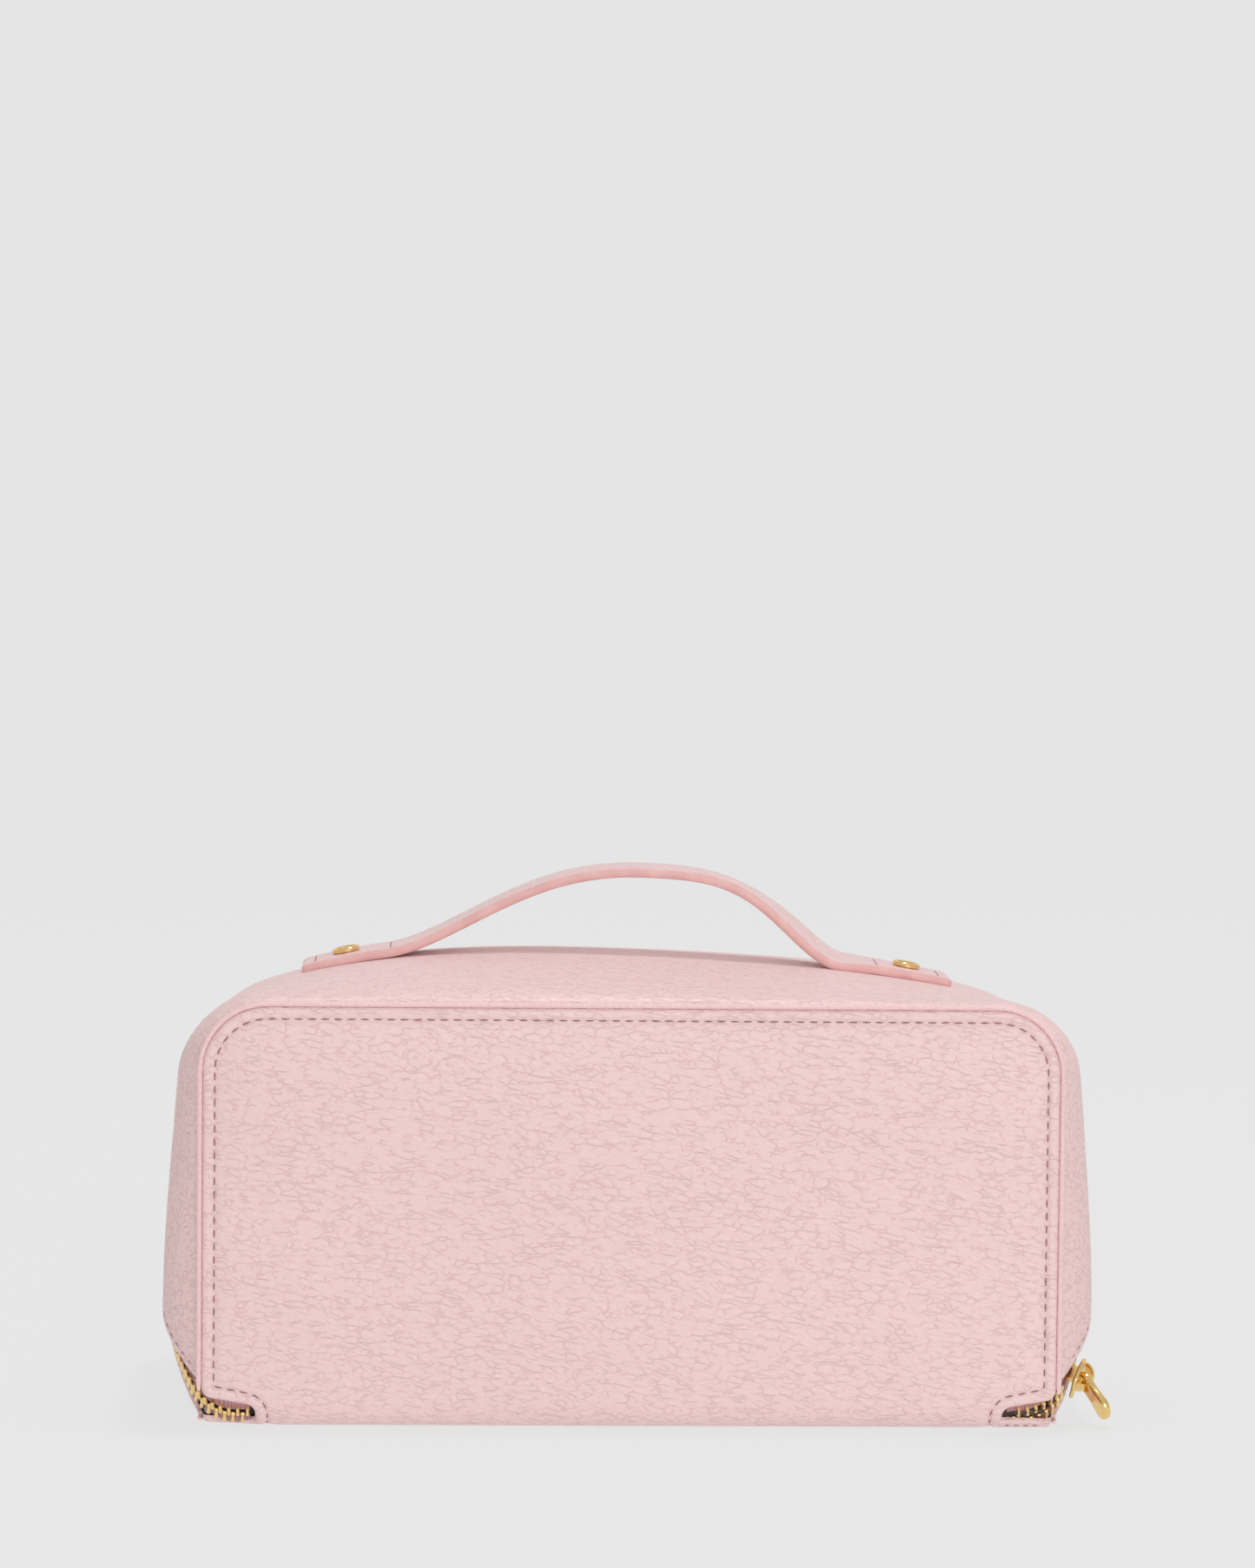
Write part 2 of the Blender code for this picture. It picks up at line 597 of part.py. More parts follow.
def build_slider(gold):
    """Slider body with its post, the bridge on it and the pull tab."""
    place, outward, forward, sideways = zip_frame(SLIDER_AT)

    def at(out, run, across):
        """Point in the slider's own directions."""
        return place + outward * out + forward * run + sideways * across

    top = -TEETH_DEPTH + 2 * GAP
    low = -TEETH_DEPTH - TEETH_THICKNESS - 2 * GAP
    half = SLIDER_WIDTH / 2
    post = SLIDER_POST_WIDTH / 2
    outline = [
        (top + SLIDER_PLATE, -half * 0.8), (top + SLIDER_PLATE, half * 0.8), (top + SLIDER_PLATE / 2, half),
        (top, half), (top, post), (low, post), (low, half), (low - SLIDER_PLATE, half),
        (low - SLIDER_PLATE, -half), (low, -half), (low, -post), (top, -post), (top, -half),
        (top + SLIDER_PLATE / 2, -half),
    ]
    sections = []
    for run, width in ((-0.5, 0.72), (-0.3, 0.92), (0.15, 1.0), (0.38, 0.9), (0.5, 0.66)):
        sections.append([at(out, run * SLIDER_LENGTH, across * width) for out, across in outline])
    finish_object("slider_body", swept(sections), gold, origin=place)

    base = top + SLIDER_PLATE + GAP
    sections = []
    for step in range(BOW_STEPS + 1):
        share = step / BOW_STEPS
        run = (share - 0.5) * BRIDGE_LENGTH
        rise = BRIDGE_HEIGHT * math.sqrt(max(0.0, 1 - (2 * share - 1) ** 2) + 1e-4)
        outer = Vector((base + rise, run))
        inner_run = run * (1 - 2 * BRIDGE_THICKNESS / BRIDGE_LENGTH)
        inner = Vector((base + rise * (1 - BRIDGE_THICKNESS / BRIDGE_HEIGHT), inner_run))
        wide = BRIDGE_WIDTH / 2
        sections.append([
            at(outer.x, outer.y, -wide), at(outer.x, outer.y, wide),
            at(inner.x, inner.y, wide), at(inner.x, inner.y, -wide),
        ])
    finish_object("slider_bridge", swept(sections), gold, origin=place)

    pivot = at(top + SLIDER_PLATE + PULL_PIVOT, 0.0, 0.0)
    lean = math.radians(PULL_LEAN)
    along = forward * math.cos(lean) + outward * math.sin(lean)
    face = along.cross(sideways).normalized()

    def prism(outline, thickness):
        """Flat piece in the pull's plane, through the crossbar's centre."""
        rings = []
        for side in (-0.5, 0.5):
            rings.append([pivot + along * u + sideways * v + face * side * thickness for u, v in outline])
        return swept(rings)

    outline = arc(PULL_TAG_AT, 0.0, PULL_TAG_RADIUS, -90, 90, 8)
    outline += arc(PULL_EYE_AT, 0.0, PULL_EYE_RADIUS, 90, 270, 8)
    pull = finish_object("pull_tab", prism(outline, PULL_THICKNESS), gold, origin=pivot)
    half = PULL_HOLE_WIDTH / 2
    hole = [(PULL_HOLE_START, -half), (PULL_HOLE_END, -half), (PULL_HOLE_END, half), (PULL_HOLE_START, half)]
    cutter = finish_object("pull_hole", prism(hole, 3 * PULL_THICKNESS), gold)
    cutter.hide_render = True
    cutter.display_type = "WIRE"
    cut = pull.modifiers.new("hole", "BOOLEAN")
    cut.operation = "DIFFERENCE"
    cut.object = cutter
    cut.solver = "EXACT"


def strap_height(x):
    """Height of the strap's underside: on the top's dome at the ends, and a free arch between."""
    dome = soften(Vector((x, 0.0, PANEL_HEIGHT))).z
    span = STRAP_RIGHT_SPAN if x > STRAP_CROWN_X else STRAP_LEFT_SPAN
    fullness = STRAP_RIGHT_FULLNESS if x > STRAP_CROWN_X else STRAP_LEFT_FULLNESS
    share = min(1.0, abs(x - STRAP_CROWN_X) / span)
    return dome + 2 * GAP + STRAP_RISE * (1 - share ** fullness) ** 2


def strap_place(x):
    """Point on the strap's underside, and the direction up through the strap there."""
    rise = strap_height(x + TANGENT_STEP) - strap_height(x - TANGENT_STEP)
    normal = Vector((-rise, 0, 2 * TANGENT_STEP)).normalized()
    return Vector((x, 0, strap_height(x))), normal


def strap_layer(low, high):
    """One layer of the strap between two heights above its underside."""
    sections = []
    for step in range(STRAP_STEPS + 1):
        x = -STRAP_END_X + 2 * STRAP_END_X * step / STRAP_STEPS
        point, normal = strap_place(x)
        half = STRAP_WIDTH / 2
        ring = []
        for y, lift in ((-half, low), (half, low), (half, high), (-half, high)):
            ring.append(point + normal * lift + Vector((0, y, 0)))
        sections.append(ring)
    return swept(sections)


def cylinder(center, axis, radius, length):
    """Solid cylinder from a point along an axis."""
    built = bmesh.new()
    matrix = Matrix.Translation(center + axis * length / 2)
    matrix = matrix @ Vector((0, 0, 1)).rotation_difference(axis).to_matrix().to_4x4()
    bmesh.ops.create_cone(built, cap_ends=True, segments=ROUND_STEPS, radius1=radius, radius2=radius,
                          depth=length, matrix=matrix)
    return built


def depth_through(wall, foot, axis, radius):
    """Greatest distance, against the axis, from a point above a wall to its inner face over a round area."""
    corners = [vertex.co.copy() for vertex in wall.data.vertices]
    tree = BVHTree.FromPolygons(corners, [tuple(polygon.vertices) for polygon in wall.data.polygons])
    arm = axis.orthogonal().normalized() * radius
    deepest = 0.0
    for step in range(ROUND_STEPS):
        rim = foot + Matrix.Rotation(math.tau * step / ROUND_STEPS, 3, axis) @ arm
        place, normal, index, distance = tree.ray_cast(rim - axis * CORNER_RADIUS, axis)
        deepest = max(deepest, CORNER_RADIUS - distance)
    return deepest


def build_handle(parent, leather, edge, gold):
    """Strap in two layers, and a screw stud with its nut at each end."""
    backing = finish_object("handle_backing", strap_layer(0.0, STRAP_LAYER), edge, parent=parent)
    strap = finish_object("handle_strap", strap_layer(STRAP_LAYER + GAP, 2 * STRAP_LAYER + GAP), leather,
                          parent=parent)
    pierced = [backing, strap]
    for name in ("cover_gusset", "cover_foam", "cover_lining"):
        pierced.append(bpy.data.objects[name])
    for side, word in ((-1, "left"), (1, "right")):
        foot, axis = strap_place(side * STUD_X)
        wall = depth_through(bpy.data.objects["cover_lining"], foot, axis, STUD_NUT_RADIUS)
        head_at = foot + axis * (2 * STRAP_LAYER + 2 * GAP)
        post = 2 * STRAP_LAYER + 2 * GAP + wall
        sections = []
        profile = [
            (-post, STUD_POST_RADIUS), (0.0, STUD_POST_RADIUS),
            (0.0, STUD_HEAD_RADIUS), (STUD_HEAD_HEIGHT * 0.6, STUD_HEAD_RADIUS),
            (STUD_HEAD_HEIGHT, STUD_HEAD_RADIUS * 0.7),
        ]
        turn = Vector((0, 0, 1)).rotation_difference(axis).to_matrix()
        for lift, radius in profile:
            ring = []
            for step in range(ROUND_STEPS):
                angle = math.tau * step / ROUND_STEPS
                ring.append(head_at + turn @ Vector((radius * math.cos(angle), radius * math.sin(angle), lift)))
            sections.append(ring)
        finish_object("stud_" + word, swept(sections), gold, parent=parent)
        nut_at = head_at - axis * (post + GAP)
        nut = cylinder(nut_at, -axis, STUD_NUT_RADIUS, STUD_NUT_HEIGHT)
        finish_object("stud_nut_" + word, nut, gold, parent=parent)
        cutter_mesh = cylinder(head_at + axis * STUD_HEAD_HEIGHT, -axis, STUD_POST_RADIUS + STUD_HOLE_CLEARANCE,
                               2 * post)
        cutter = finish_object("stud_hole_" + word, cutter_mesh, gold)
        cutter.hide_render = True
        cutter.display_type = "WIRE"
        for target in pierced:
            cut = target.modifiers.new("hole_" + word, "BOOLEAN")
            cut.operation = "DIFFERENCE"
            cut.object = cutter
            cut.solver = "EXACT"


def box(low, high):
    """Axis-aligned solid between two corners."""
    built = bmesh.new()
    bmesh.ops.create_cube(built, size=1.0)
    for vert in built.verts:
        for axis in range(3):
            vert.co[axis] = low[axis] if vert.co[axis] < 0 else high[axis]
    return built


def build_inside(parent, lining, elastic):
    """Brush flap with elastic loops in the cover, and padded dividers in the base."""
    half = INNER_HALF + CORNER_RADIUS - LINING_INSET - LINING - FLAP_SIDE_GAP
    level = INSIDE_LEVEL + FLAP_STANDOFF
    back = -BODY_DEPTH / 2
    hinge = Vector((0, back + level + FLAP_THICKNESS / 2, FLAP_FOOT))
    flap = box((-half, back + level, FLAP_FOOT), (half, back + level + FLAP_THICKNESS, FLAP_FOOT + FLAP_HEIGHT))
    finish_object("brush_flap", flap, lining, origin=hinge, parent=parent)
    front = level + FLAP_THICKNESS + GAP
    pitch = 2 * half / (LOOP_COUNT + 1)
    for index in range(LOOP_COUNT):
        middle = -half + pitch * (index + 1)
        sections = []
        for step in range(BOW_STEPS + 1):
            share = step / BOW_STEPS
            x = middle + (share - 0.5) * LOOP_WIDTH
            bow = LOOP_BOW * math.sin(math.pi * share)
            near = back + front + bow
            low = FLAP_FOOT + FLAP_HEIGHT * 0.5 - LOOP_HEIGHT / 2
            sections.append([
                Vector((x, near, low)), Vector((x, near + LOOP_ELASTIC, low)),
                Vector((x, near + LOOP_ELASTIC, low + LOOP_HEIGHT)), Vector((x, near, low + LOOP_HEIGHT)),
            ])
        finish_object("brush_loop_" + str(index + 1), swept(sections), elastic, parent=parent)
    for side, word in ((-1, "left"), (1, "right")):
        middle = side * DIVIDER_X
        low = (middle - DIVIDER_THICKNESS / 2, back + DIVIDER_BACK, INSIDE_LEVEL + GAP)
        high = (middle + DIVIDER_THICKNESS / 2, back + DIVIDER_BACK + DIVIDER_LENGTH,
                INSIDE_LEVEL + GAP + DIVIDER_HEIGHT)
        finish_object("divider_" + word, box(low, high), lining)


def main():
    """Builds the whole case."""
    for old in list(bpy.data.objects):
        bpy.data.objects.remove(old)
    leather = material("pink_leather", PINK, 0.55)
    edge = material("edge_paint", EDGE_PINK, 0.40)
    tape = material("zip_tape", TAPE_PINK, 0.80)
    lining = material("lining", LINING_PINK, 0.70)
    board = material("board", BOARD_GREY, 0.90)
    foam = material("foam", FOAM_WHITE, 0.90)
    gold = material("gold", GOLD, 0.22, 1.0)
    elastic = material("elastic", TAPE_PINK, 0.75)

    cover = bpy.data.objects.new("cover_axis", None)
    cover.location = (0, HINGE_AXIS - BODY_DEPTH / 2, HINGE_AXIS)
    bpy.context.scene.collection.objects.link(cover)
    looks = (leather, board, foam, lining, edge)
    cover_names = {
        "panel": "back_panel", "board": "back_board", "floor": "cover_lining_floor", "gusset": "cover_gusset",
        "foam": "cover_foam", "lining": "cover_lining", "piping": "back_piping",
    }
    base_names = {
        "panel": "bottom_panel", "board": "bottom_board", "floor": "base_lining_floor", "gusset": "base_gusset",
        "foam": "base_foam", "lining": "base_lining", "piping": "bottom_piping",
    }
    build_tray(COVER, cover_names, looks, cover)
    build_tray(BASE, base_names, looks, None)
    build_hinge(leather)
    build_zip(cover, tape, gold)
    build_slider(gold)
    build_handle(cover, leather, edge, gold)
    build_inside(cover, lining, elastic)


main()
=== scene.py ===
"""Looks of a makeup train case that opens flat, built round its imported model.

Everything is in metres, +Z up. The case's back faces -Y. A tray's own coordinates are x, the reach from
the hinge edge, and the level from its panel. The leather that wraps the back, the bend and the bottom uses
x and t, the length along the wrap from the middle of the bend, positive up the back.
"""

import json
import logging
import math
from dataclasses import dataclass, field
from enum import Enum
from typing import Callable, Optional, Sequence, Union

import bmesh
import bpy
import numpy as np
from mathutils import Matrix, Vector, geometry


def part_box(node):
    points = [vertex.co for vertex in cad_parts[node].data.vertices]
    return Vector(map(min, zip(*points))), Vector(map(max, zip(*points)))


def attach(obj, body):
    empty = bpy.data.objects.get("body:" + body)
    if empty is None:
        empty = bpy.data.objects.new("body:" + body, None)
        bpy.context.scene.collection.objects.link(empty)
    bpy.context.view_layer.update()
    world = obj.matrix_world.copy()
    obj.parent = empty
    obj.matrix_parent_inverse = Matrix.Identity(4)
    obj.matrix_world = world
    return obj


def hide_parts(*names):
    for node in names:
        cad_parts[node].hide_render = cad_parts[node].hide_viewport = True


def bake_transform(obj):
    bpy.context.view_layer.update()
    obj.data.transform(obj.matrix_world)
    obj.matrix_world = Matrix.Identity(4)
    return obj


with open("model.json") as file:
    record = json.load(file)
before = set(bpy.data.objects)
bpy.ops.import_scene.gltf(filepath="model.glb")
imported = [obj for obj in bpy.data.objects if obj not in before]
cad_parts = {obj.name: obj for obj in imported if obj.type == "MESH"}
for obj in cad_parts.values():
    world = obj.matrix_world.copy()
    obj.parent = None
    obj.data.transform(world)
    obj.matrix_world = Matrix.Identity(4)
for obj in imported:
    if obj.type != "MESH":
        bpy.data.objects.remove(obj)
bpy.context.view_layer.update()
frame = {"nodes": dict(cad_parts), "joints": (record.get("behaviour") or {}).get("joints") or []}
LOG = logging.getLogger("train_case")
MM = 0.001
Color = tuple[float, float, float]
Pair = tuple[float, float]
Looks = Union[bpy.types.Material, Sequence[bpy.types.Material]]


class Slot(Enum):
    """Material slots of the record."""

    LEATHER = "pink_leather"
    EDGE = "edge_paint"
    TAPE = "zip_tape"
    LINING = "lining"
    GOLD = "gold"
    ELASTIC = "elastic"


class Body(Enum):
    """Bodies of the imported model."""

    BASE = "base"
    COVER = "cover"
    FLAP = "brush_flap"
    SLIDER = "slider"
    PULL = "pull"


# ---------------------------------------------------------------- shader graphs

class Signal:
    """A shader socket that takes part in Python arithmetic."""

    def __init__(self, graph: "Graph", socket: bpy.types.NodeSocket) -> None:
        """Wraps an output socket of a graph."""
        self.graph = graph
        self.socket = socket

    def _math(self, operation: str, first: "Operand", second: "Operand") -> "Signal":
        """Adds one Math node."""
        return self.graph.add("ShaderNodeMath", {"operation": operation}, {0: first, 1: second})

    def __add__(self, other: "Operand") -> "Signal":
        """Sum."""
        return self._math("ADD", self, other)

    def __sub__(self, other: "Operand") -> "Signal":
        """Difference."""
        return self._math("SUBTRACT", self, other)

    def __rsub__(self, other: "Operand") -> "Signal":
        """Difference from a number."""
        return self._math("SUBTRACT", other, self)

    def __mul__(self, other: "Operand") -> "Signal":
        """Product."""
        return self._math("MULTIPLY", self, other)

    __radd__ = __add__
    __rmul__ = __mul__


Operand = Union[Signal, float]
Feed = Union[Signal, float, Sequence[float]]


class Graph:
    """A material's node tree, ending in its Principled shader."""

    def __init__(self, name: str) -> None:
        """Makes the material."""
        self.material = bpy.data.materials.new(name)
        self.material.use_nodes = True
        self.tree = self.material.node_tree
        self.shader = self.tree.nodes["Principled BSDF"]

    def add(
        self, kind: str, settings: Optional[dict] = None, inputs: Optional[dict] = None,
        output: Union[int, str] = 0,
    ) -> Signal:
        """Adds a node of any kind.

        Args:
            kind: the node's type.
            settings: its properties, set first.
            inputs: values or links of its sockets, by name or number.
            output: the socket to hand on.

        Returns:
            The chosen output.
        """
        node = self.tree.nodes.new(kind)
        for name, value in (settings or {}).items():
            setattr(node, name, value)
        for key, value in (inputs or {}).items():
            self.feed(node.inputs[key], value)
        return Signal(self, node.outputs[output])

    def feed(self, socket: bpy.types.NodeSocket, value: Feed) -> None:
        """Links a signal to a socket, or sets the socket's value."""
        if isinstance(value, Signal):
            self.tree.links.new(value.socket, socket)
        else:
            socket.default_value = value

    def dress(self, **values: Feed) -> bpy.types.Material:
        """Feeds the Principled shader's sockets and hands on the material.

        Args:
            **values: sockets by name, underscores standing for spaces.

        Returns:
            The finished material.
        """
        for name, value in values.items():
            if name in ("Base_Color", "Emission_Color") and not isinstance(value, Signal):
                value = (*value, 1.0)
            self.feed(self.shader.inputs[name.replace("_", " ")], value)
        return self.material

    def place(self, scale: Sequence[float] = (1.0, 1.0, 1.0)) -> Signal:
        """Position in the case's frame, scaled along each axis."""
        position = self.add("ShaderNodeTexCoord", output="Object")
        return self.vector("MULTIPLY", position, scale)

    def vector(self, operation: str, first: Feed, second: Feed) -> Signal:
        """Adds one Vector Math node."""
        return self.add("ShaderNodeVectorMath", {"operation": operation}, {0: first, 1: second})

    def split(self, vector: Signal) -> list[Signal]:
        """The three parts of a vector."""
        node = self.add("ShaderNodeSeparateXYZ", None, {0: vector}).socket.node
        return [Signal(self, output) for output in node.outputs]

    def noise(self, place: Signal, size: float, detail: float = 2.0, output: Union[int, str] = 0) -> Signal:
        """Noise with features of a size in metres."""
        inputs = {"Vector": place, "Scale": 1 / size, "Detail": detail}
        return self.add("ShaderNodeTexNoise", None, inputs, output)

    def warp(self, place: Signal, size: float, amount: float) -> Signal:
        """Position pushed about by noise."""
        cloud = self.noise(place, size, 1.0, "Color")
        shift = self.vector("SUBTRACT", cloud, (0.5, 0.5, 0.5))
        shift = self.add("ShaderNodeVectorMath", {"operation": "SCALE"}, {0: shift, "Scale": amount})
        return self.vector("ADD", place, shift)

    def cells(self, place: Signal, size: float) -> Signal:
        """Distance from the borders between irregular cells of a size in metres, in cells."""
        inputs = {"Vector": place, "Scale": 1 / size}
        return self.add("ShaderNodeTexVoronoi", {"feature": "DISTANCE_TO_EDGE"}, inputs)

    def ramp(self, value: Signal, low: float, high: float) -> Signal:
        """Smooth rise from 0 at low to 1 at high."""
        settings = {"interpolation_type": "SMOOTHSTEP"}
        return self.add("ShaderNodeMapRange", settings, {0: value, 1: low, 2: high})

    def blend(self, mask: Feed, first: Union[Color, Signal], second: Union[Color, Signal]) -> Signal:
        """Colour between two colours."""
        ends = [value if isinstance(value, Signal) else (*value, 1.0) for value in (first, second)]
        return self.add("ShaderNodeMix", {"data_type": "RGBA"}, {0: mask, 6: ends[0], 7: ends[1]}, 2)

    def bump(self, height: Signal, depth: float, strength: float = 1.0) -> Signal:
        """Normal of a relief, depth being its full height in metres."""
        return self.add("ShaderNodeBump", None, {"Height": height, "Distance": depth, "Strength": strength})

    def rows(self, along: Signal, pitch: float) -> Signal:
        """Even ribs along a coordinate in metres, from 0 in the grooves to 1 on the ribs."""
        return self.add("ShaderNodeMath", {"operation": "SINE"}, {0: along * (math.tau / pitch)}) * 0.5 + 0.5


def srgb(red: float, green: float, blue: float) -> Color:
    """Linear colour of an 8-bit display colour."""
    return tuple(((value / 255 + 0.055) / 1.055) ** 2.4 for value in (red, green, blue))


@dataclass(frozen=True)
class Leather:
    """Pebbled leather-look coating: rounded pebbles parted by soft creases that run mostly along the case,
    with painted shade darkening the creases.
    """

    name: str
    tint: Color
    # Colour painted into the creases as their shade.
    crease: Color
    cell: float = 1.7 * MM
    stretch: float = 2.3
    relief: float = 0.17 * MM
    roughness: float = 0.40
    lean: float = 0.14

    def material(self) -> bpy.types.Material:
        """Makes the material."""
        graph = Graph(self.name)
        base = graph.add("ShaderNodeVectorRotate", {"rotation_type": "Y_AXIS"}, {
            "Vector": graph.place(), "Angle": -self.lean,
        })
        base = graph.vector("MULTIPLY", base, (1 / self.stretch, 1, 1))
        place = graph.warp(graph.warp(base, 7 * self.cell, 2.2 * self.cell), 1.1 * self.cell, 1.0 * self.cell)
        border = graph.cells(place, self.cell)
        pebble = graph.ramp(border, 0.0, 0.34)
        crease = 1 - graph.ramp(border, 0.0, 0.10)
        depth = graph.ramp(graph.noise(base, 0.9 * self.cell, 1.0), 0.34, 0.60)
        small = graph.ramp(graph.cells(base, 0.52 * self.cell), 0.0, 0.40)
        fine = graph.noise(base, 0.18 * self.cell, 2.0)
        height = pebble * (depth * 0.62 + 0.12) + small * 0.34 + fine * 0.20 - crease * depth * 0.34
        cloud = graph.noise(base, 30 * self.cell, 2.0)
        # Painted shade: the creases are darkened towards the crease colour, the deeper ones more.
        tone = graph.blend(crease * (depth * 0.36 + 0.04), self.tint, self.crease)
        paler = tuple(min(1.0, value * 1.035) for value in self.tint)
        tone = graph.blend(graph.ramp(cloud, 0.35, 0.75) * (1 - crease) * 0.6, tone, paler)
        rough = self.roughness + (1 - pebble) * 0.16 + fine * 0.05
        return graph.dress(
            Base_Color=tone, Roughness=rough, Normal=graph.bump(height, self.relief), Coat_Weight=0.10,
            Coat_Roughness=0.34,
        )


@dataclass(frozen=True)
class EdgePaint:
    """Smooth thick edge paint, with the slight waves of a dipped coat."""

    name: str
    tint: Color
    shade: Color
    wave: float = 5 * MM
    roughness: float = 0.42

    def material(self) -> bpy.types.Material:
        """Makes the material."""
        graph = Graph(self.name)
        place = graph.place()
        wave = graph.noise(place, self.wave, 2.0)
        speck = graph.noise(place, 0.12 * self.wave, 2.0)
        tone = graph.blend(graph.ramp(wave, 0.35, 0.7), self.shade, self.tint)
        return graph.dress(
            Base_Color=tone, Roughness=self.roughness + speck * 0.10,
            Normal=graph.bump(wave * 0.8 + speck * 0.2, 0.12 * MM), Coat_Weight=0.12, Coat_Roughness=0.3,
        )


@dataclass(frozen=True)
class Weave:
    """Woven cloth: two crossing rows of yarn, with slubs."""

    name: str
    tint: Color
    shade: Color
    yarn: float = 0.42 * MM
    relief: float = 0.10 * MM
    roughness: float = 0.78

    def material(self) -> bpy.types.Material:
        """Makes the material."""
        graph = Graph(self.name)
        place = graph.warp(graph.place(), 12 * self.yarn, 0.5 * self.yarn)
        axes = self.axes(graph, place)
        across = graph.rows(axes[0], self.yarn)
        along = graph.rows(axes[1], self.yarn)
        weave = across * along
        slub = graph.noise(place, 6 * self.yarn, 2.0)
        tone = graph.blend(graph.ramp(weave * 0.7 + slub * 0.5, 0.15, 0.85), self.shade, self.tint)
        return graph.dress(
            Base_Color=tone, Roughness=self.roughness + slub * 0.1,
            Normal=graph.bump(weave + slub * 0.3, self.relief), Sheen_Weight=0.15,
        )

    def axes(self, graph: Graph, place: Signal) -> tuple[Signal, Signal]:
        """The two directions that the yarns follow: across the case, and over its walls."""
        x, y, z = graph.split(place)
        return x + y * 0.31, z + y


@dataclass(frozen=True)
class Ribbed(Weave):
    """Narrow ware such as zip tape and elastic: ribs that run along it, from its own length and width map."""

    def axes(self, graph: Graph, place: Signal) -> tuple[Signal, Signal]:
        """Length and width along the strip, from its map."""
        length, width, _ = graph.split(graph.add("ShaderNodeUVMap", {"uv_map": "strip"}))
        return length, width


@dataclass(frozen=True)
class Thread:
    """Sewing thread: a fine twist of yarn."""

    name: str
    tint: Color
    shade: Color

    def material(self) -> bpy.types.Material:
        """Makes the material."""
        graph = Graph(self.name)
        twist = graph.rows(graph.noise(graph.place((1.0, 1.0, 2.0)), 0.4 * MM, 1.0), 0.25)
        tone = graph.blend(twist, self.shade, self.tint)
        return graph.dress(Base_Color=tone, Roughness=0.62 + twist * 0.1, Normal=graph.bump(twist, 0.05 * MM))


@dataclass(frozen=True)
class Metal:
    """Plated metal, with faint polishing lines and darker blotches painted in as dark reflections."""

    name: str
    tint: Color
    shade: Color
    roughness: float

    def material(self) -> bpy.types.Material:
        """Makes the material."""
        graph = Graph(self.name)
        lines = graph.noise(graph.place((1.0, 6.0, 1.0)), 0.5 * MM, 3.0)
        # Painted reflection: random blotches are darkened towards the shade colour to stand in for dark
        # reflections, and are a little rougher.
        dark_reflection_blotches = graph.ramp(graph.noise(graph.place(), 2.2 * MM, 3.0), 0.45, 0.75)
        tone = graph.blend(dark_reflection_blotches * 0.5, self.tint, self.shade)
        return graph.dress(
            Base_Color=tone, Metallic=1.0, Roughness=self.roughness + lines * 0.06 + dark_reflection_blotches * 0.05,
            Normal=graph.bump(lines, 0.006 * MM),
        )


@dataclass(frozen=True)
class Plain:
    """Board and foam that the leather hides: a mottled, slightly rough surface."""

    name: str
    tint: Color
    shade: Color
    grain: float
    relief: float

    def material(self) -> bpy.types.Material:
        """Makes the material."""
        graph = Graph(self.name)
        place = graph.place()
        pore = graph.ramp(graph.cells(place, self.grain), 0.0, 0.4)
        cloud = graph.noise(place, 8 * self.grain, 3.0)
        tone = graph.blend(pore * 0.6 + cloud * 0.4, self.shade, self.tint)
        return graph.dress(
            Base_Color=tone, Roughness=0.86 + cloud * 0.08, Normal=graph.bump(pore, self.relief)
        )


class Finishes:
    """Every finish of the case, made once."""

    def __init__(self) -> None:
        """Makes the materials."""
        pink = srgb(236, 204, 202)
        # The second colour of each leather is the painted shade of its creases.
        self.leather = Leather("pebbled_pink_leather", pink, srgb(203, 160, 162)).material()
        self.strap_leather = Leather(
            "strap_leather", srgb(234, 202, 201), srgb(205, 162, 164), cell=1.9 * MM, relief=0.20 * MM
        ).material()
        self.smooth_leather = Leather(
            "piping_leather", srgb(237, 202, 201), srgb(220, 180, 180), cell=1.4 * MM, relief=0.07 * MM,
            stretch=1.0,
        ).material()
        self.edge = EdgePaint("edge_paint", srgb(229, 184, 179), srgb(221, 172, 169)).material()
        self.lining = Weave("satin_lining", srgb(222, 180, 182), srgb(190, 146, 150)).material()
        self.tape = Ribbed(
            "woven_zip_tape", srgb(205, 158, 164), srgb(160, 110, 120), yarn=0.75 * MM
        ).material()
        self.elastic = Ribbed(
            "elastic_band", srgb(212, 164, 170), srgb(172, 124, 132), yarn=0.9 * MM
        ).material()
        # The thread's colours are darker than the leather's pink: its own twist plus painted shade of the
        # sunk stitch holes and dents.
        self.thread = Thread("shaded_sewing_thread", srgb(196, 146, 152), srgb(150, 100, 110)).material()
        # The second colour of each metal is painted where the dark reflections fall.
        self.gold = Metal("polished_gold", (0.93, 0.66, 0.27), (0.80, 0.52, 0.20), 0.10).material()
        self.teeth = Metal("zip_teeth_gold", (0.96, 0.74, 0.38), (0.82, 0.58, 0.27), 0.26).material()
        self.board = Plain(
            "grey_board", (0.50, 0.47, 0.43), (0.40, 0.37, 0.33), grain=1.2 * MM, relief=0.05 * MM
        ).material()
        self.foam = Plain(
            "white_foam", (0.85, 0.85, 0.82), (0.68, 0.68, 0.65), grain=0.7 * MM, relief=0.15 * MM
        ).material()


# ---------------------------------------------------------------- shape of the case

def clamp(value: float, low: float, high: float) -> float:
    """The value, kept between two limits."""
    return min(max(value, low), high)


def ease(share: float) -> float:
    """Rises from 0 to 1 over share 0..1 and stays at 1."""
    return 1 - (1 - clamp(share, 0.0, 1.0)) ** 2


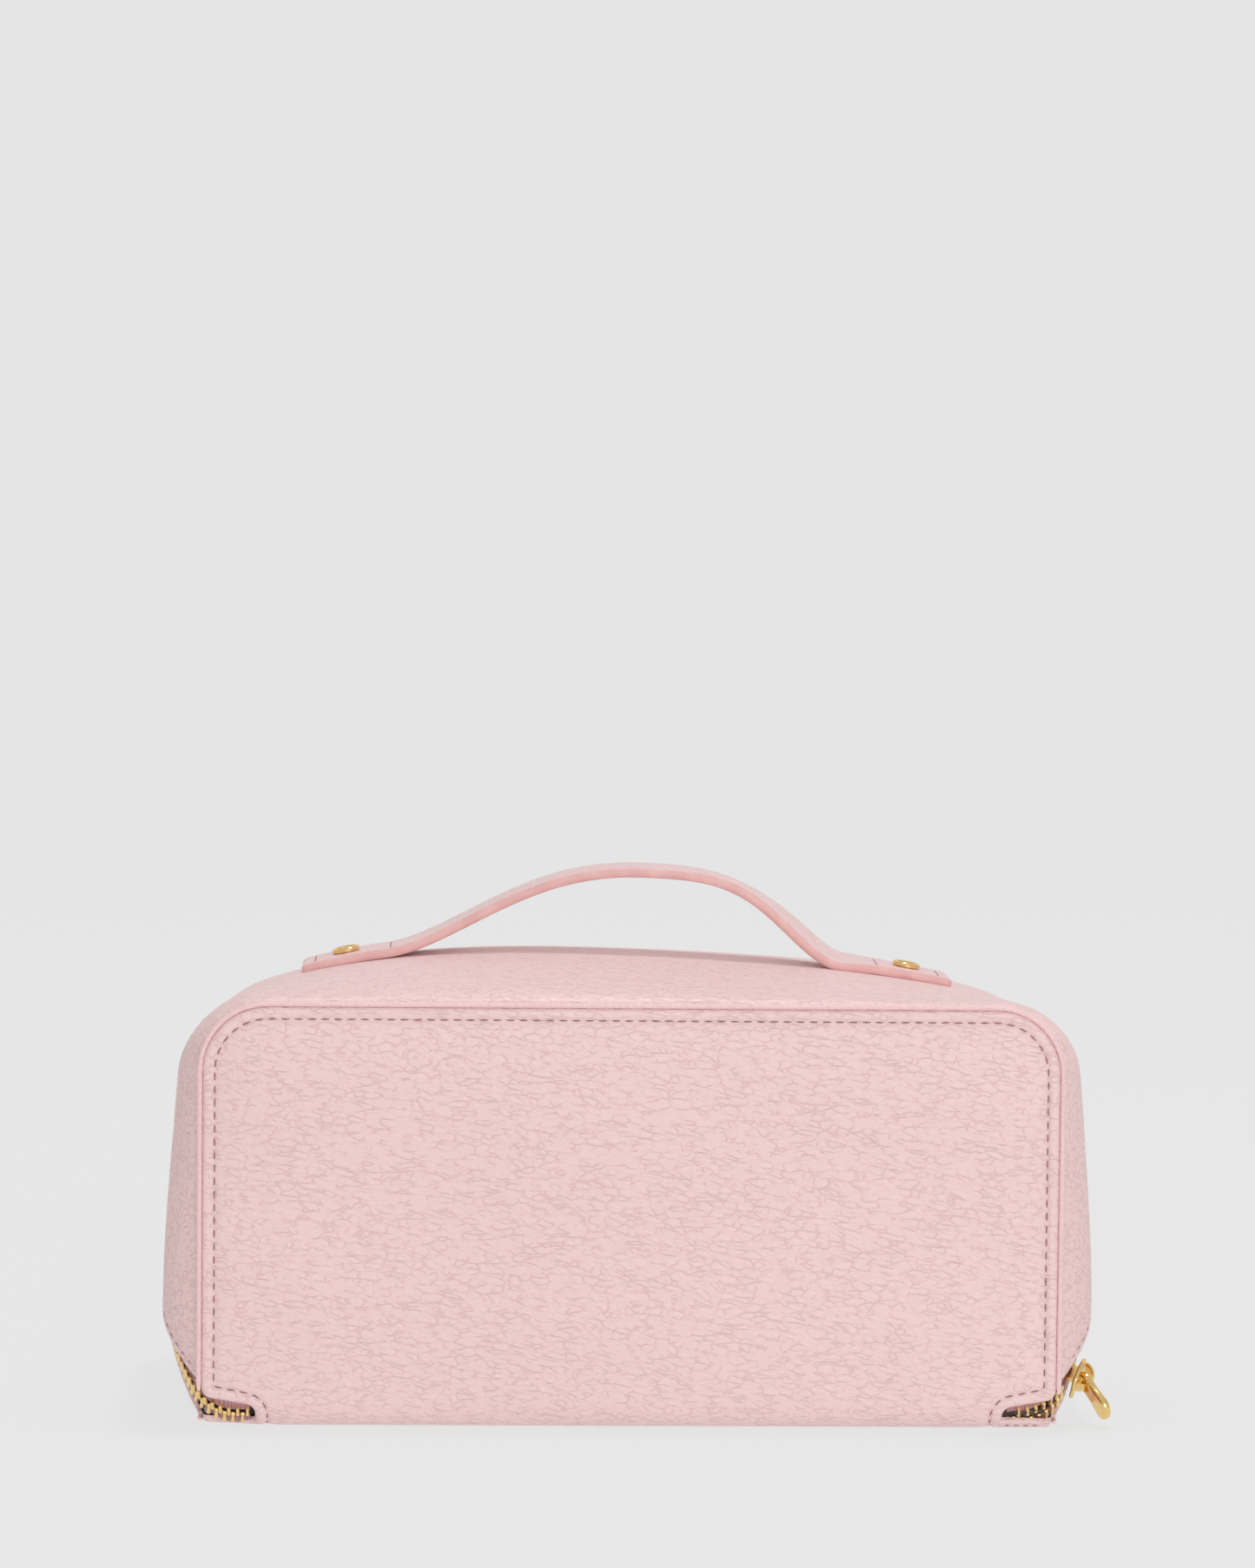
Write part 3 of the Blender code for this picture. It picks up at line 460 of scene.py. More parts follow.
def crown(share: float, span: float = 1.1, power: float = 0.8) -> float:
    """Height of a stuffed wall's crown at a share of the way across it; it ends at the span."""
    return math.sin(math.pi * clamp(share / span, 0.0, 1.0) ** power)


def turns(steps: int) -> list[float]:
    """Angles of an even ring."""
    return [math.tau * step / steps for step in range(steps)]


def unit(vectors: np.ndarray) -> np.ndarray:
    """Rows scaled to length 1."""
    return vectors / np.linalg.norm(vectors, axis=1)[:, None]


def curve_through(stops: Sequence[Pair], at: float) -> float:
    """Height of a broken line through (place, height) stops, rounded between them.

    Args:
        stops: places in rising order, each with its height.
        at: the place to read.

    Returns:
        The height there, held constant past both ends.
    """
    if at <= stops[0][0]:
        return stops[0][1]
    for (low, first), (high, second) in zip(stops, stops[1:]):
        if at <= high:
            share = (at - low) / (high - low)
            return first + (second - first) * share * share * (3 - 2 * share)
    return stops[-1][1]


def arc(center: Pair, radius: float, start: float, end: float, steps: int) -> list[Pair]:
    """Points on an arc, angles in degrees."""
    angles = [math.radians(start + (end - start) * step / steps) for step in range(steps + 1)]
    return [(center[0] + radius * math.cos(angle), center[1] + radius * math.sin(angle)) for angle in angles]


@dataclass
class CaseShape:
    """Soft outer shape that both trays share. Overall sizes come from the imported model."""

    half_width: float = field(default_factory=lambda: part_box("back_piping")[1].x)
    height: float = field(default_factory=lambda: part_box("back_piping")[1].z)
    back: float = field(default_factory=lambda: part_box("back_panel")[0].y)
    front: float = field(default_factory=lambda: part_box("bottom_piping")[1].y)
    bend: float = field(default_factory=lambda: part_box("hinge_leather")[1].z)
    corner: float = 18 * MM
    side_bulge: float = 9.5 * MM
    top_bulge: float = 8.2 * MM
    top_skew: float = 0.52
    shoulder_drop: float = 13 * MM
    shoulder_power: int = 4
    inside_level: float = 4.8 * MM
    front_bulge: float = 6 * MM
    side_rise_back: float = 16 * MM
    side_rise_bottom: float = 30 * MM
    upper_side_share: float = 0.45
    taper_from: float = 0.25
    taper_over: float = 0.9
    seam_level: float = 2.1 * MM

    def __post_init__(self) -> None:
        """Works out what follows from the sizes."""
        self.depth = self.front - self.back
        self.inner_half = self.half_width - self.corner
        self.bend_middle = self.bend * (1 - math.sqrt(0.5))
        self.bend_quarter = self.bend * math.pi / 4

    def soften(self, point: Vector) -> Vector:
        """Moves a point of the flat-sided case to its place on the soft, bulging case."""
        x, y, z = point
        depth = y - self.back
        lift = clamp((z / self.height - self.taper_from) / self.taper_over, 0.0, 1.0)
        side = self.side_bulge * (1 - (1 - self.upper_side_share) * lift * lift * (3 - 2 * lift))
        side *= ease((depth - self.seam_level) / self.side_rise_back)
        side *= ease((z - self.seam_level) / self.side_rise_bottom)
        across = max(0.0, 1 - (x / self.half_width) ** 2)
        dome = crown(depth / self.depth)
        belly = crown(z / self.height)
        skew = 1 - self.top_skew * x / self.half_width
        sink = self.shoulder_drop * abs(x / self.half_width) ** self.shoulder_power
        sink *= ease((depth - self.inside_level) / self.depth)
        up = (self.top_bulge * across * skew * dome - sink) * max(0.0, z / self.height) ** 2
        out = self.front_bulge * across * belly * max(0.0, depth / self.depth) ** 2
        return Vector((x * (1 + side / self.half_width), y + out, z + up))

    def wrap(self, x: float, t: float, lift: float) -> Vector:
        """Point on the leather that runs down the back, round the bend and along the bottom.

        Args:
            x: place across the case.
            t: length along the wrap from the middle of the bend, positive up the back.
            lift: height above the leather's outer face.

        Returns:
            The point in the case's frame.
        """
        past = abs(t) - self.bend_quarter
        if past > 0 and t > 0:
            return Vector((x, self.back - lift, self.bend + past))
        if past > 0:
            return Vector((x, self.back + self.bend + past, -lift))
        angle = math.pi / 4 - t / self.bend
        radius = self.bend + lift
        y = self.back + self.bend - radius * math.cos(angle)
        return Vector((x, y, self.bend - radius * math.sin(angle)))


@dataclass
class Tray:
    """One of the two wedge trays."""

    shape: CaseShape
    cover: bool
    opening_half: float = 5.5 * MM
    turn_radius: float = 10 * MM
    least_wall: float = 1.2 * MM
    side_steps: int = 30
    corner_steps: int = 12
    top_steps: int = 48
    crowding: float = 1.6

    def __post_init__(self) -> None:
        """Works out the tray's reach, depth and slopes."""
        shape = self.shape
        self.reach, self.depth = (shape.height, shape.depth) if self.cover else (shape.depth, shape.height)
        rise = self.reach - shape.corner - shape.bend_middle
        run = self.depth - shape.corner - shape.bend_middle
        self.slope_reach = rise / math.hypot(rise, run)
        self.slope_level = run / math.hypot(rise, run)

    def to_case(self, x: float, reach: float, level: float) -> Vector:
        """Tray coordinates to the case's frame."""
        if self.cover:
            return Vector((x, level + self.shape.back, reach))
        return Vector((x, reach + self.shape.back, level))

    def lip_reach(self, offset: float) -> float:
        """Reach at which a layer that stops offset short of the zip plane starts at the panel."""
        middle = self.shape.bend_middle
        return middle + (offset - middle * self.slope_reach) / self.slope_level

    def wall_end(self, turn: float, radius: float, offset: float, reach: float) -> float:
        """Length of the wall from the panel to the zip edge, at one place along the outline."""
        corner, middle = self.shape.corner, self.shape.bend_middle
        flat = self.depth - corner
        level = middle + ((reach - middle) * self.slope_level - offset) / self.slope_reach
        if level <= flat:
            return level
        lean = math.sin(turn) * self.slope_level
        size = math.hypot(lean, self.slope_reach)
        angle = math.atan2(lean, self.slope_reach) - math.asin(min(1.0, offset / (radius * size)))
        return flat + corner * max(0.0, angle)

    def stations(self) -> list[tuple]:
        """Places along the outline, as (x centre, reach centre, turn, side), from hinge end to hinge end."""
        tip = self.lip_reach(self.opening_half) + self.turn_radius / 2
        top = self.reach - self.shape.corner
        inner = self.shape.inner_half
        left, middle = [], []
        for step in range(self.side_steps):
            share = (step / self.side_steps) ** self.crowding
            left.append((-inner, tip + (top - tip) * share, 0.0, -1))
        for step in range(self.corner_steps):
            left.append((-inner, top, math.pi / 2 * step / self.corner_steps, -1))
        for step in range(self.top_steps + 1):
            middle.append((-inner + 2 * inner * step / self.top_steps, top, math.pi / 2, 1))
        return left + middle + [(-x, reach, turn, 1) for x, reach, turn, side in reversed(left)]

    def wall_point(self, station: tuple, radius: float, length: float) -> Vector:
        """Point of the wall at a length from the panel, radius being the layer's own corner radius."""
        x, reach, turn, side = station
        flat = self.depth - self.shape.corner
        lean = max(0.0, length - flat) / self.shape.corner
        spread = radius * math.cos(lean)
        place = self.to_case(
            x + side * spread * math.cos(turn), reach + spread * math.sin(turn),
            min(length, flat) + radius * math.sin(lean),
        )
        return self.shape.soften(place)

    def wall_span(self, station: tuple, offset: float, start: float) -> float:
        """Length at which the wall ends at the zip; towards the hinge the wall's tip is rounded off."""
        x, reach, turn, side = station
        radius = self.shape.corner
        end = self.wall_end(turn, radius, offset, reach + radius * math.sin(turn))
        if turn == 0.0:
            lip = self.lip_reach(self.opening_half)
            tip = lip + self.turn_radius / 2
            close = (tip - lip) / max(reach - lip, tip - lip)
            end = start + (end - start) * math.sqrt(max(0.0, 1 - close ** 2))
        return max(end, start + self.least_wall)


# ---------------------------------------------------------------- mesh makers

class Piece:
    """Collects one piece's mesh, then makes its object."""

    def __init__(self, name: str) -> None:
        """Starts an empty mesh."""
        self.name = name
        self.mesh = bmesh.new()
        self.strip = self.mesh.loops.layers.uv.new("strip")

    def grid(self, rows: Sequence[Sequence[Vector]]) -> list[list[bmesh.types.BMVert]]:
        """Adds an open grid of quads."""
        verts = [[self.mesh.verts.new(point) for point in row] for row in rows]
        for i in range(len(rows) - 1):
            for j in range(len(rows[0]) - 1):
                corners = ((i, j), (i + 1, j), (i + 1, j + 1), (i, j + 1))
                self.mesh.faces.new([verts[a][b] for a, b in corners])
        return verts

    def slab(self, outer: Sequence[Sequence[Vector]], inner: Sequence[Sequence[Vector]]) -> None:
        """Adds a closed body between two grids with the same rows and columns."""
        first, second = self.grid(outer), self.grid(inner)
        last, wide = len(outer) - 1, len(outer[0]) - 1
        rim = [(i, 0) for i in range(last)] + [(last, j) for j in range(wide)]
        rim += [(i, wide) for i in range(last, 0, -1)] + [(0, j) for j in range(wide, 0, -1)]
        for (i, j), (k, m) in zip(rim, rim[1:] + rim[:1]):
            self.mesh.faces.new((first[i][j], first[k][m], second[k][m], second[i][j]))

    def swept(self, sections: Sequence[Sequence[Vector]], slots: Optional[Sequence[int]] = None) -> None:
        """Adds a closed body through equal rings of points.

        Args:
            sections: the rings.
            slots: a material slot for each side of the ring.
        """
        rings = [[self.mesh.verts.new(point) for point in ring] for ring in sections]
        count = len(rings[0])
        for low, high in zip(rings, rings[1:]):
            for i in range(count):
                face = self.mesh.faces.new((low[i], low[(i + 1) % count], high[(i + 1) % count], high[i]))
                face.material_index = slots[i] if slots else 0
        for ring in (rings[0], rings[-1]):
            face = self.mesh.faces.new(ring)
            face.material_index = max(slots) if slots else 0

    def strip_map(self, width: Callable[[Vector], Pair]) -> None:
        """Fills the length and width map from a function of the point."""
        for face in self.mesh.faces:
            for loop in face.loops:
                loop[self.strip].uv = width(loop.vert.co)

    def finish(
        self, looks: Looks, body: Optional[Body], replaces: Sequence[str] = (),
        sharp: float = 50.0,
    ) -> bpy.types.Object:
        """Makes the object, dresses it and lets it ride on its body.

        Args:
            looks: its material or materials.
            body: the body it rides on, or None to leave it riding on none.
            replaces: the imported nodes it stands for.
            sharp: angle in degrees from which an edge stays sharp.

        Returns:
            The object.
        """
        bmesh.ops.recalc_face_normals(self.mesh, faces=self.mesh.faces)
        data = bpy.data.meshes.new(self.name)
        self.mesh.to_mesh(data)
        self.mesh.free()
        data.shade_smooth()
        data.set_sharp_from_angle(angle=math.radians(sharp))
        made = bpy.data.objects.new(self.name, data)
        for look in looks if isinstance(looks, (list, tuple)) else [looks]:
            data.materials.append(look)
        bpy.context.scene.collection.objects.link(made)
        if body is not None:
            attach(made, body.value)
        if replaces:
            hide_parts(*replaces)
        LOG.info("%s: %d faces", self.name, len(data.polygons))
        return made


def resample(points: Sequence[Vector], spacing: float) -> list[tuple[Vector, Vector]]:
    """Points at an even spacing along a line, each with the line's direction there."""
    out = []
    travelled, due = 0.0, 0.0
    for first, second in zip(points, points[1:]):
        length = (second - first).length
        while length > 0 and due <= travelled + length:
            out.append((first.lerp(second, (due - travelled) / length), (second - first) / length))
            due += spacing
        travelled += length
    return out


@dataclass
class Stitcher:
    """Sews rows of stitches: short lengths of thread whose ends dip into the leather."""

    length: float = 2.45 * MM
    pitch: float = 3.4 * MM
    radius: float = 0.21 * MM
    dip: float = 0.34 * MM
    segments: int = 8
    sides: int = 6
    # Share along a stitch, with the thread's thickness and lift there.
    profile: Sequence[tuple[float, float, float]] = (
        (0.0, 0.45, -1.0), (0.14, 0.85, -0.2), (0.5, 1.0, 0.3), (0.86, 0.85, -0.2), (1.0, 0.45, -1.0),
    )

    def sew(self, piece: Piece, path: Sequence[tuple[Vector, Vector]]) -> None:
        """Adds one row.

        Args:
            piece: the mesh to add to.
            path: places along the seam, each with the surface's outward direction.
        """
        points = [place for place, outward in path]
        step = self.pitch / self.segments
        line = resample(points, step)
        lookup = self._outward(path)
        covered = round(self.length / step)
        for index in range(0, len(line) - covered, self.segments):
            start, direction = line[index]
            end = line[index + covered][0]
            middle = line[index + covered // 2][0]
            self._stitch(piece, start, middle, end, lookup(middle))

    def _outward(self, path: Sequence[tuple[Vector, Vector]]) -> Callable[[Vector], Vector]:
        """Outward direction at the path's place nearest to a point."""
        places = np.array([tuple(place) for place, outward in path])

        def look(point: Vector) -> Vector:
            """Nearest place's direction."""
            nearest = int(np.argmin(((places - np.array(tuple(point))) ** 2).sum(axis=1)))
            return path[nearest][1]

        return look

    def _stitch(self, piece: Piece, start: Vector, middle: Vector, end: Vector, outward: Vector) -> None:
        """One stitch through three points."""
        along = (end - start).normalized()
        sideways = along.cross(outward).normalized()
        sections = []
        for share, thick, lift in self.profile:
            low, high = (start, middle) if share < 0.5 else (middle, end)
            center = low.lerp(high, share * 2 if share < 0.5 else share * 2 - 1) + outward * self.dip * lift
            size = self.radius * thick
            sections.append([
                center + (sideways * math.cos(a) + outward * math.sin(a)) * size for a in turns(self.sides)
            ])
        piece.swept(sections)


@dataclass
class FilledSheet:
    """A flat-cut sheet: an outline filled with points that lie closer together along its edge."""

    outline: list[Pair]
    insets: Sequence[float] = tuple(
        value * MM for value in (0.25, 0.6, 1.1, 1.8, 2.4, 2.8, 3.1, 3.5, 4.2, 5.4, 7.2)
    )
    grid: float = 3.0 * MM
    bend_grid: float = 0.9 * MM
    least_share: float = 0.985
    merge: float = 1e-7

    def __post_init__(self) -> None:
        """Readies the outline for distance tests."""
        points = np.array(self.outline)
        self.starts = points
        self.runs = np.roll(points, -1, axis=0) - points

    def distance(self, points: np.ndarray) -> np.ndarray:
        """Distance of each point from the outline."""
        lengths = (self.runs ** 2).sum(axis=1)
        best = np.full(len(points), np.inf)
        for start, run, length in zip(self.starts, self.runs, lengths):
            share = np.clip(((points - start) @ run) / length, 0, 1)
            gap = points - start - share[:, None] * run
            best = np.minimum(best, (gap ** 2).sum(axis=1))
        return np.sqrt(best)

    def offset(self, inset: float) -> np.ndarray:
        """Points at an inset from the outline, in its order."""
        before = self.starts - np.roll(self.starts, 1, axis=0)
        run = unit(unit(before) + unit(self.runs))
        inward = np.stack([-run[:, 1], run[:, 0]], axis=1) * self.turning()
        moved = self.starts + inward * inset
        return moved[self.distance(moved) > inset * self.least_share]

    def turning(self) -> float:
        """1 for an outline that runs anticlockwise and -1 for the other way."""
        following = np.roll(self.starts, -1, axis=0)
        area = (self.starts[:, 0] * following[:, 1] - following[:, 0] * self.starts[:, 1]).sum()
        return 1.0 if area > 0 else -1.0

    def fill(self, bend_half: float) -> tuple[np.ndarray, list, np.ndarray]:
        """Fills the outline.

        Args:
            bend_half: half the width of the band about t = 0 that needs closer rows.

        Returns:
            The points, the triangles and each point's distance from the outline.
        """
        low, high = self.starts.min(axis=0), self.starts.max(axis=0)
        levels = list(np.arange(bend_half, high[1], self.grid))
        levels += list(-np.arange(bend_half, -low[1], self.grid))
        levels += list(np.arange(-bend_half + self.bend_grid / 2, bend_half, self.bend_grid))
        points = []
        for row, level in enumerate(levels):
            shift = self.grid / 2 * (row % 2)
            points += [(x, level) for x in np.arange(low[0] + shift, high[0], self.grid)]
        inside = np.array(points)
        inside = inside[self.distance(inside) > self.insets[-1] + self.grid * 0.5]
        rings = [self.offset(inset) for inset in self.insets]
        everything = np.concatenate([self.starts, *rings, inside])
        count = len(self.starts)
        loop = [(index, (index + 1) % count) for index in range(count)]
        corners = [Vector(point) for point in everything]
        verts, _, faces, _, _, _ = geometry.delaunay_2d_cdt(corners, loop, [], 1, self.merge)
        filled = np.array([tuple(v) for v in verts])
        return filled, faces, self.distance(filled)


# ---------------------------------------------------------------- leather

@dataclass
class WrapLeather:
    """The one piece of leather over the back, the bend and the bottom, cut out round both zip ends."""

    shape: CaseShape
    finishes: Finishes
    inset: float = 1.35 * MM
    cut_x: float = 96.8 * MM
    cut_radius: float = 3.0 * MM
    cut_level: float = 4.6 * MM
    foot_level: float = 6.2 * MM
    foot_radius: float = 3.0 * MM
    stitch_inset: float = 3.15 * MM
    thickness: float = 1.1 * MM
    spacing: float = 1.5 * MM
    bend_margin: float = 1.5 * MM
    stitch_lift: float = 0.10 * MM
    pillow: float = 1.1 * MM
    pillow_from: float = 4 * MM
    pillow_over: float = 26 * MM
    pillow_rise: float = 20 * MM
    low_sink: float = 0.28 * MM
    low_over: float = 4 * MM
    edge_profile: Sequence[Pair] = (
        (0.0, -0.75), (0.25, -0.35), (0.7, 0.05), (1.5, 0.20), (2.3, 0.12), (2.8, -0.20), (3.15, -0.45),
        (3.5, -0.25), (4.3, 0.10), (6.0, 0.25),
    )

    def half_outline(self) -> list[Pair]:
        """Left half of the outline, from the middle of the front edge to the middle of the top edge."""
        shape = self.shape
        half = shape.half_width - self.inset
        radius = shape.corner - self.inset
        top = shape.bend_quarter + shape.height - shape.bend - self.inset
        low = -(shape.bend_quarter + shape.depth - shape.bend - self.inset)
        points = arc((-half + radius, low + radius), radius, 270, 180, 16)
        foot, cut = self.foot_radius, self.cut_radius
        points += arc((-half + foot, -self.foot_level - foot), foot, 180, 90, 5)
        points += arc((-self.cut_x - cut, -self.cut_level + cut), cut, 270, 360, 6)
        points += arc((-self.cut_x - cut, self.cut_level - cut), cut, 0, 90, 6)
        points += arc((-half + foot, self.foot_level + foot), foot, 270, 180, 5)
        points += arc((-half + radius, top - radius), radius, 180, 90, 16)
        return points

    def outline(self) -> list[Pair]:
        """The closed outline, with points no further apart than the spacing."""
        half = self.half_outline()
        points = half + [(-x, t) for x, t in reversed(half)]
        out = []
        for first, second in zip(points, points[1:] + points[:1]):
            steps = max(1, math.ceil(math.dist(first, second) / self.spacing))
            out += [tuple(np.array(first) + (np.array(second) - first) * i / steps) for i in range(steps)]
        return out

    def relief(self, t: float, distance: float) -> float:
        """Height of the surface over the flat-cut leather."""
        lift = curve_through(self.edge_profile, distance / MM) * MM
        risen = clamp((t - self.shape.bend_quarter) / self.pillow_rise, 0, 1)
        lift += self.pillow * ease((distance - self.pillow_from) / self.pillow_over) * risen
        low = clamp((-t - self.shape.bend_quarter / 3) / self.low_over, 0, 1)
        return lift - self.low_sink * low if t < 0 else lift

    def build(self) -> None:
        """Builds the leather and its stitches."""
        sheet = FilledSheet(self.outline())
        points, faces, distances = sheet.fill(self.shape.bend_quarter + self.bend_margin)
        piece = Piece("wrap_leather")
        outer, inner = [], []
        for (x, t), distance in zip(points, distances):
            lift = self.relief(t, distance)
            outer.append(piece.mesh.verts.new(self.shape.wrap(x, t, lift)))
            inner.append(piece.mesh.verts.new(self.shape.wrap(x, t, min(lift, 0.0) - self.thickness)))
        edges: dict[tuple[int, int], int] = {}
        for face in faces:
            piece.mesh.faces.new([outer[i] for i in face])
            piece.mesh.faces.new([inner[i] for i in reversed(face)])
            for pair in zip(face, face[1:] + face[:1]):
                key = (min(pair), max(pair))
                edges[key] = edges.get(key, 0) + 1
        for (i, j), uses in edges.items():
            if uses == 1:
                piece.mesh.faces.new((outer[i], outer[j], inner[j], inner[i]))
        made = piece.finish(
            self.finishes.leather, None, ("back_panel", "hinge_leather", "bottom_panel"), 70
        )
        self.bend_between(made)
        self.build_stitches(sheet)

    def bend_between(self, made: bpy.types.Object) -> None:
        """Bakes a piece's placement into its mesh; it rides on neither the cover nor the base."""
        under = self.shape.wrap(0.0, -self.shape.bend_quarter, 0.0)
        above = self.shape.wrap(0.0, self.shape.bend_quarter, 0.0)
        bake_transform(made)

    def build_stitches(self, sheet: FilledSheet) -> None:
        """Sews the row inside the edge band, all round."""
        piece = Piece("wrap_stitches")
        path = []
        for x, t in sheet.offset(self.stitch_inset):
            lift = self.relief(t, self.stitch_inset)
            place = self.shape.wrap(x, t, lift + self.stitch_lift)
            outward = (self.shape.wrap(x, t, lift + MM) - self.shape.wrap(x, t, lift)).normalized()
            path.append((place, outward))
        Stitcher().sew(piece, path + path[:2])
        self.bend_between(piece.finish(self.finishes.thread, None))


@dataclass
class EndTab:
    """Short leather tongue of the base that closes off the parted end of the zip."""

    wrap: WrapLeather
    start_x: float = 95.0 * MM
    end_x: float = 109.5 * MM
    low: float = -8.0 * MM
    high: float = 0.2 * MM
    droop: float = 1.0 * MM
    edge_rise: float = 0.35 * MM
    edge_run: float = 0.9 * MM
    sink: float = 0.30 * MM
    thickness: float = 0.9 * MM
    stitch_x: float = 97.5 * MM
    stitch_run: float = 9.0 * MM
    stitch_t: float = -1.9 * MM
    stitch_lift: float = 0.06 * MM

    def build(self) -> None:
        """Builds the tongue and its row of stitches."""
        columns, rows, places = 30, 24, 20
        outer, inner = [], []
        for i in range(columns + 1):
            x = self.start_x + (self.end_x - self.start_x) * i / columns
            top = self.high - self.droop * (i / columns) ** 3
            lines = ([], [])
            for j in range(rows + 1):
                t = self.low + (top - self.low) * j / rows
                edge = min(self.end_x - x, top - t)
                lift = self.edge_rise * ease(edge / self.edge_run) - self.sink
                lines[0].append(self.wrap.shape.wrap(x, t, lift))
                lines[1].append(self.wrap.shape.wrap(x, t, lift - self.thickness))
            outer.append(lines[0])
            inner.append(lines[1])
        piece = Piece("zip_end_tab")
        piece.slab(outer, inner)
        piece.finish(self.wrap.finishes.leather, Body.BASE)
        stitches = Piece("zip_end_tab_stitches")
        path = []
        for i in range(places):
            x = self.stitch_x + self.stitch_run * i / (places - 1)
            place = self.wrap.shape.wrap(x, self.stitch_t, self.stitch_lift)
            path.append((place, (self.wrap.shape.wrap(x, self.stitch_t, MM) - place).normalized()))
        Stitcher(length=1.7 * MM, pitch=2.4 * MM).sew(stitches, path)
        stitches.finish(self.wrap.finishes.thread, Body.BASE)


@dataclass
class Gusset:
    """Leather wall of one tray: its turned hem along the zip, its stitches, and piping at the panel."""

    tray: Tray
    finishes: Finishes
    thickness: float = 1.2 * MM
    start: float = 1.0 * MM
    hem_stitch: float = 3.0 * MM
    stitch_inset: float = 0.2 * MM
    piping_radius: float = 0.72 * MM
    piping_inset: float = 0.65 * MM
    piping_level: float = 0.80 * MM
    hem_profile: Sequence[Pair] = (
        (0.0, -0.70), (0.25, -0.30), (0.8, 0.08), (1.5, 0.18), (2.2, 0.10), (2.7, -0.15), (3.0, -0.30),
        (3.4, -0.12), (4.4, 0.05), (7.0, 0.0),
    )
    seam_profile: Sequence[Pair] = (
        (1.0, -1.0), (1.3, -0.45), (1.8, -0.10), (2.6, 0.12), (4.0, 0.20), (8.0, 0.0),
    )

    @property
    def word(self) -> str:
        """Name of the tray."""
        return "cover" if self.tray.cover else "base"

    @property
    def body(self) -> Body:
        """Body that the tray's pieces ride on."""
        return Body.COVER if self.tray.cover else Body.BASE

    def rows(self, start: float, end: float) -> list[Pair]:
        """Lengths from the panel, each with its distance from the zip edge."""
        near = [0.0, 0.3, 0.8, 1.6, 3.0, 5.0, 7.0]
        hem = [9.0, 7.0, 5.4, 4.4, 3.9, 3.4, 3.0, 2.7, 2.2, 1.5, 0.8, 0.25, 0.0]
        scale = min(1.0, (end - start) / ((near[-1] + hem[0] + 1.0) * MM))
        out = [start + value * scale * MM for value in near]
        first, last = out[-1], end - hem[0] * scale * MM
        out += [first + (last - first) * step / 14 for step in range(1, 14)]
        out += [end - value * scale * MM for value in hem]
        return out

    def surface(self, inset: float, start: float, offset: float, relief: bool) -> list[list[Vector]]:
        """Grid of points over one face of a wall layer.

        Args:
            inset: how far the face lies inside the case's surface.
            start: level of the face's first row.
            offset: distance of its last row from the zip plane.
            relief: whether the hem and the seam shape it.

        Returns:
            A row of points for each place along the outline.
        """
        grid = []
        for station in self.tray.stations():
            end = self.tray.wall_span(station, offset, start)
            line = []
            for length in self.rows(start, end):
                lift = 0.0
                if relief:
                    lift = curve_through(self.hem_profile, (end - length) / MM) * MM
                    lift += curve_through(self.seam_profile, length / MM) * MM
                    lift *= clamp((end - start) / (6 * MM), 0.25, 1.0)
                line.append(self.tray.wall_point(station, self.tray.shape.corner - inset + lift, length))
            grid.append(line)
        return grid

    def build(self) -> None:
        """Builds the leather wall, its hem stitches and the piping."""
        offset, start = self.tray.opening_half, self.start
        piece = Piece(self.word + "_gusset_leather")
        piece.slab(self.surface(0.0, start, offset, True), self.surface(self.thickness, start, offset, False))
        piece.finish(self.finishes.leather, self.body, (self.word + "_gusset",), 70)
        path = []
        for station in self.tray.stations():
            end = self.tray.wall_span(station, offset, start)
            if end - start > self.hem_stitch + 2 * MM:
                radius = self.tray.shape.corner - self.stitch_inset
                place = self.tray.wall_point(station, radius, end - self.hem_stitch)
                outward = self.tray.wall_point(station, radius + MM, end - self.hem_stitch) - place
                path.append((place, outward.normalized()))
        stitches = Piece(self.word + "_zip_edge_stitches")
        Stitcher().sew(stitches, path)
        stitches.finish(self.finishes.thread, self.body)
        self.build_piping()

    def build_piping(self) -> None:
        """Round piping along the seam between the wall and the panel."""
        half = self.tray.shape.half_width - self.piping_inset
        radius = self.tray.shape.corner - self.piping_inset
        top = self.tray.reach - self.piping_inset
        low = self.tray.lip_reach(self.tray.opening_half) + 2.0 * MM
        side = [(half, low + (top - radius - low) * step / 40) for step in range(40)]
        path = side + arc((half - radius, top - radius), radius, 0, 90, 14)
        path += [(-x, reach) for x, reach in reversed(path)]
        line = [self.tray.to_case(x, reach, self.piping_level) for x, reach in path]
        into = (self.tray.to_case(0, 0, 1) - self.tray.to_case(0, 0, 0)).normalized()
        sections = []
        for index, point in enumerate(line):
            run = (line[min(index + 1, len(line) - 1)] - line[max(index - 1, 0)]).normalized()
            out = run.cross(into).normalized()
            size = self.piping_radius * (0.55 if index in (0, len(line) - 1) else 1.0)
            sections.append([point + (out * math.cos(a) + into * math.sin(a)) * size for a in turns(12)])
        name = "back_piping" if self.tray.cover else "bottom_piping"
        piece = Piece(name + "_leather")
        piece.swept(sections)
        piece.finish(self.finishes.smooth_leather, self.body, (name,))


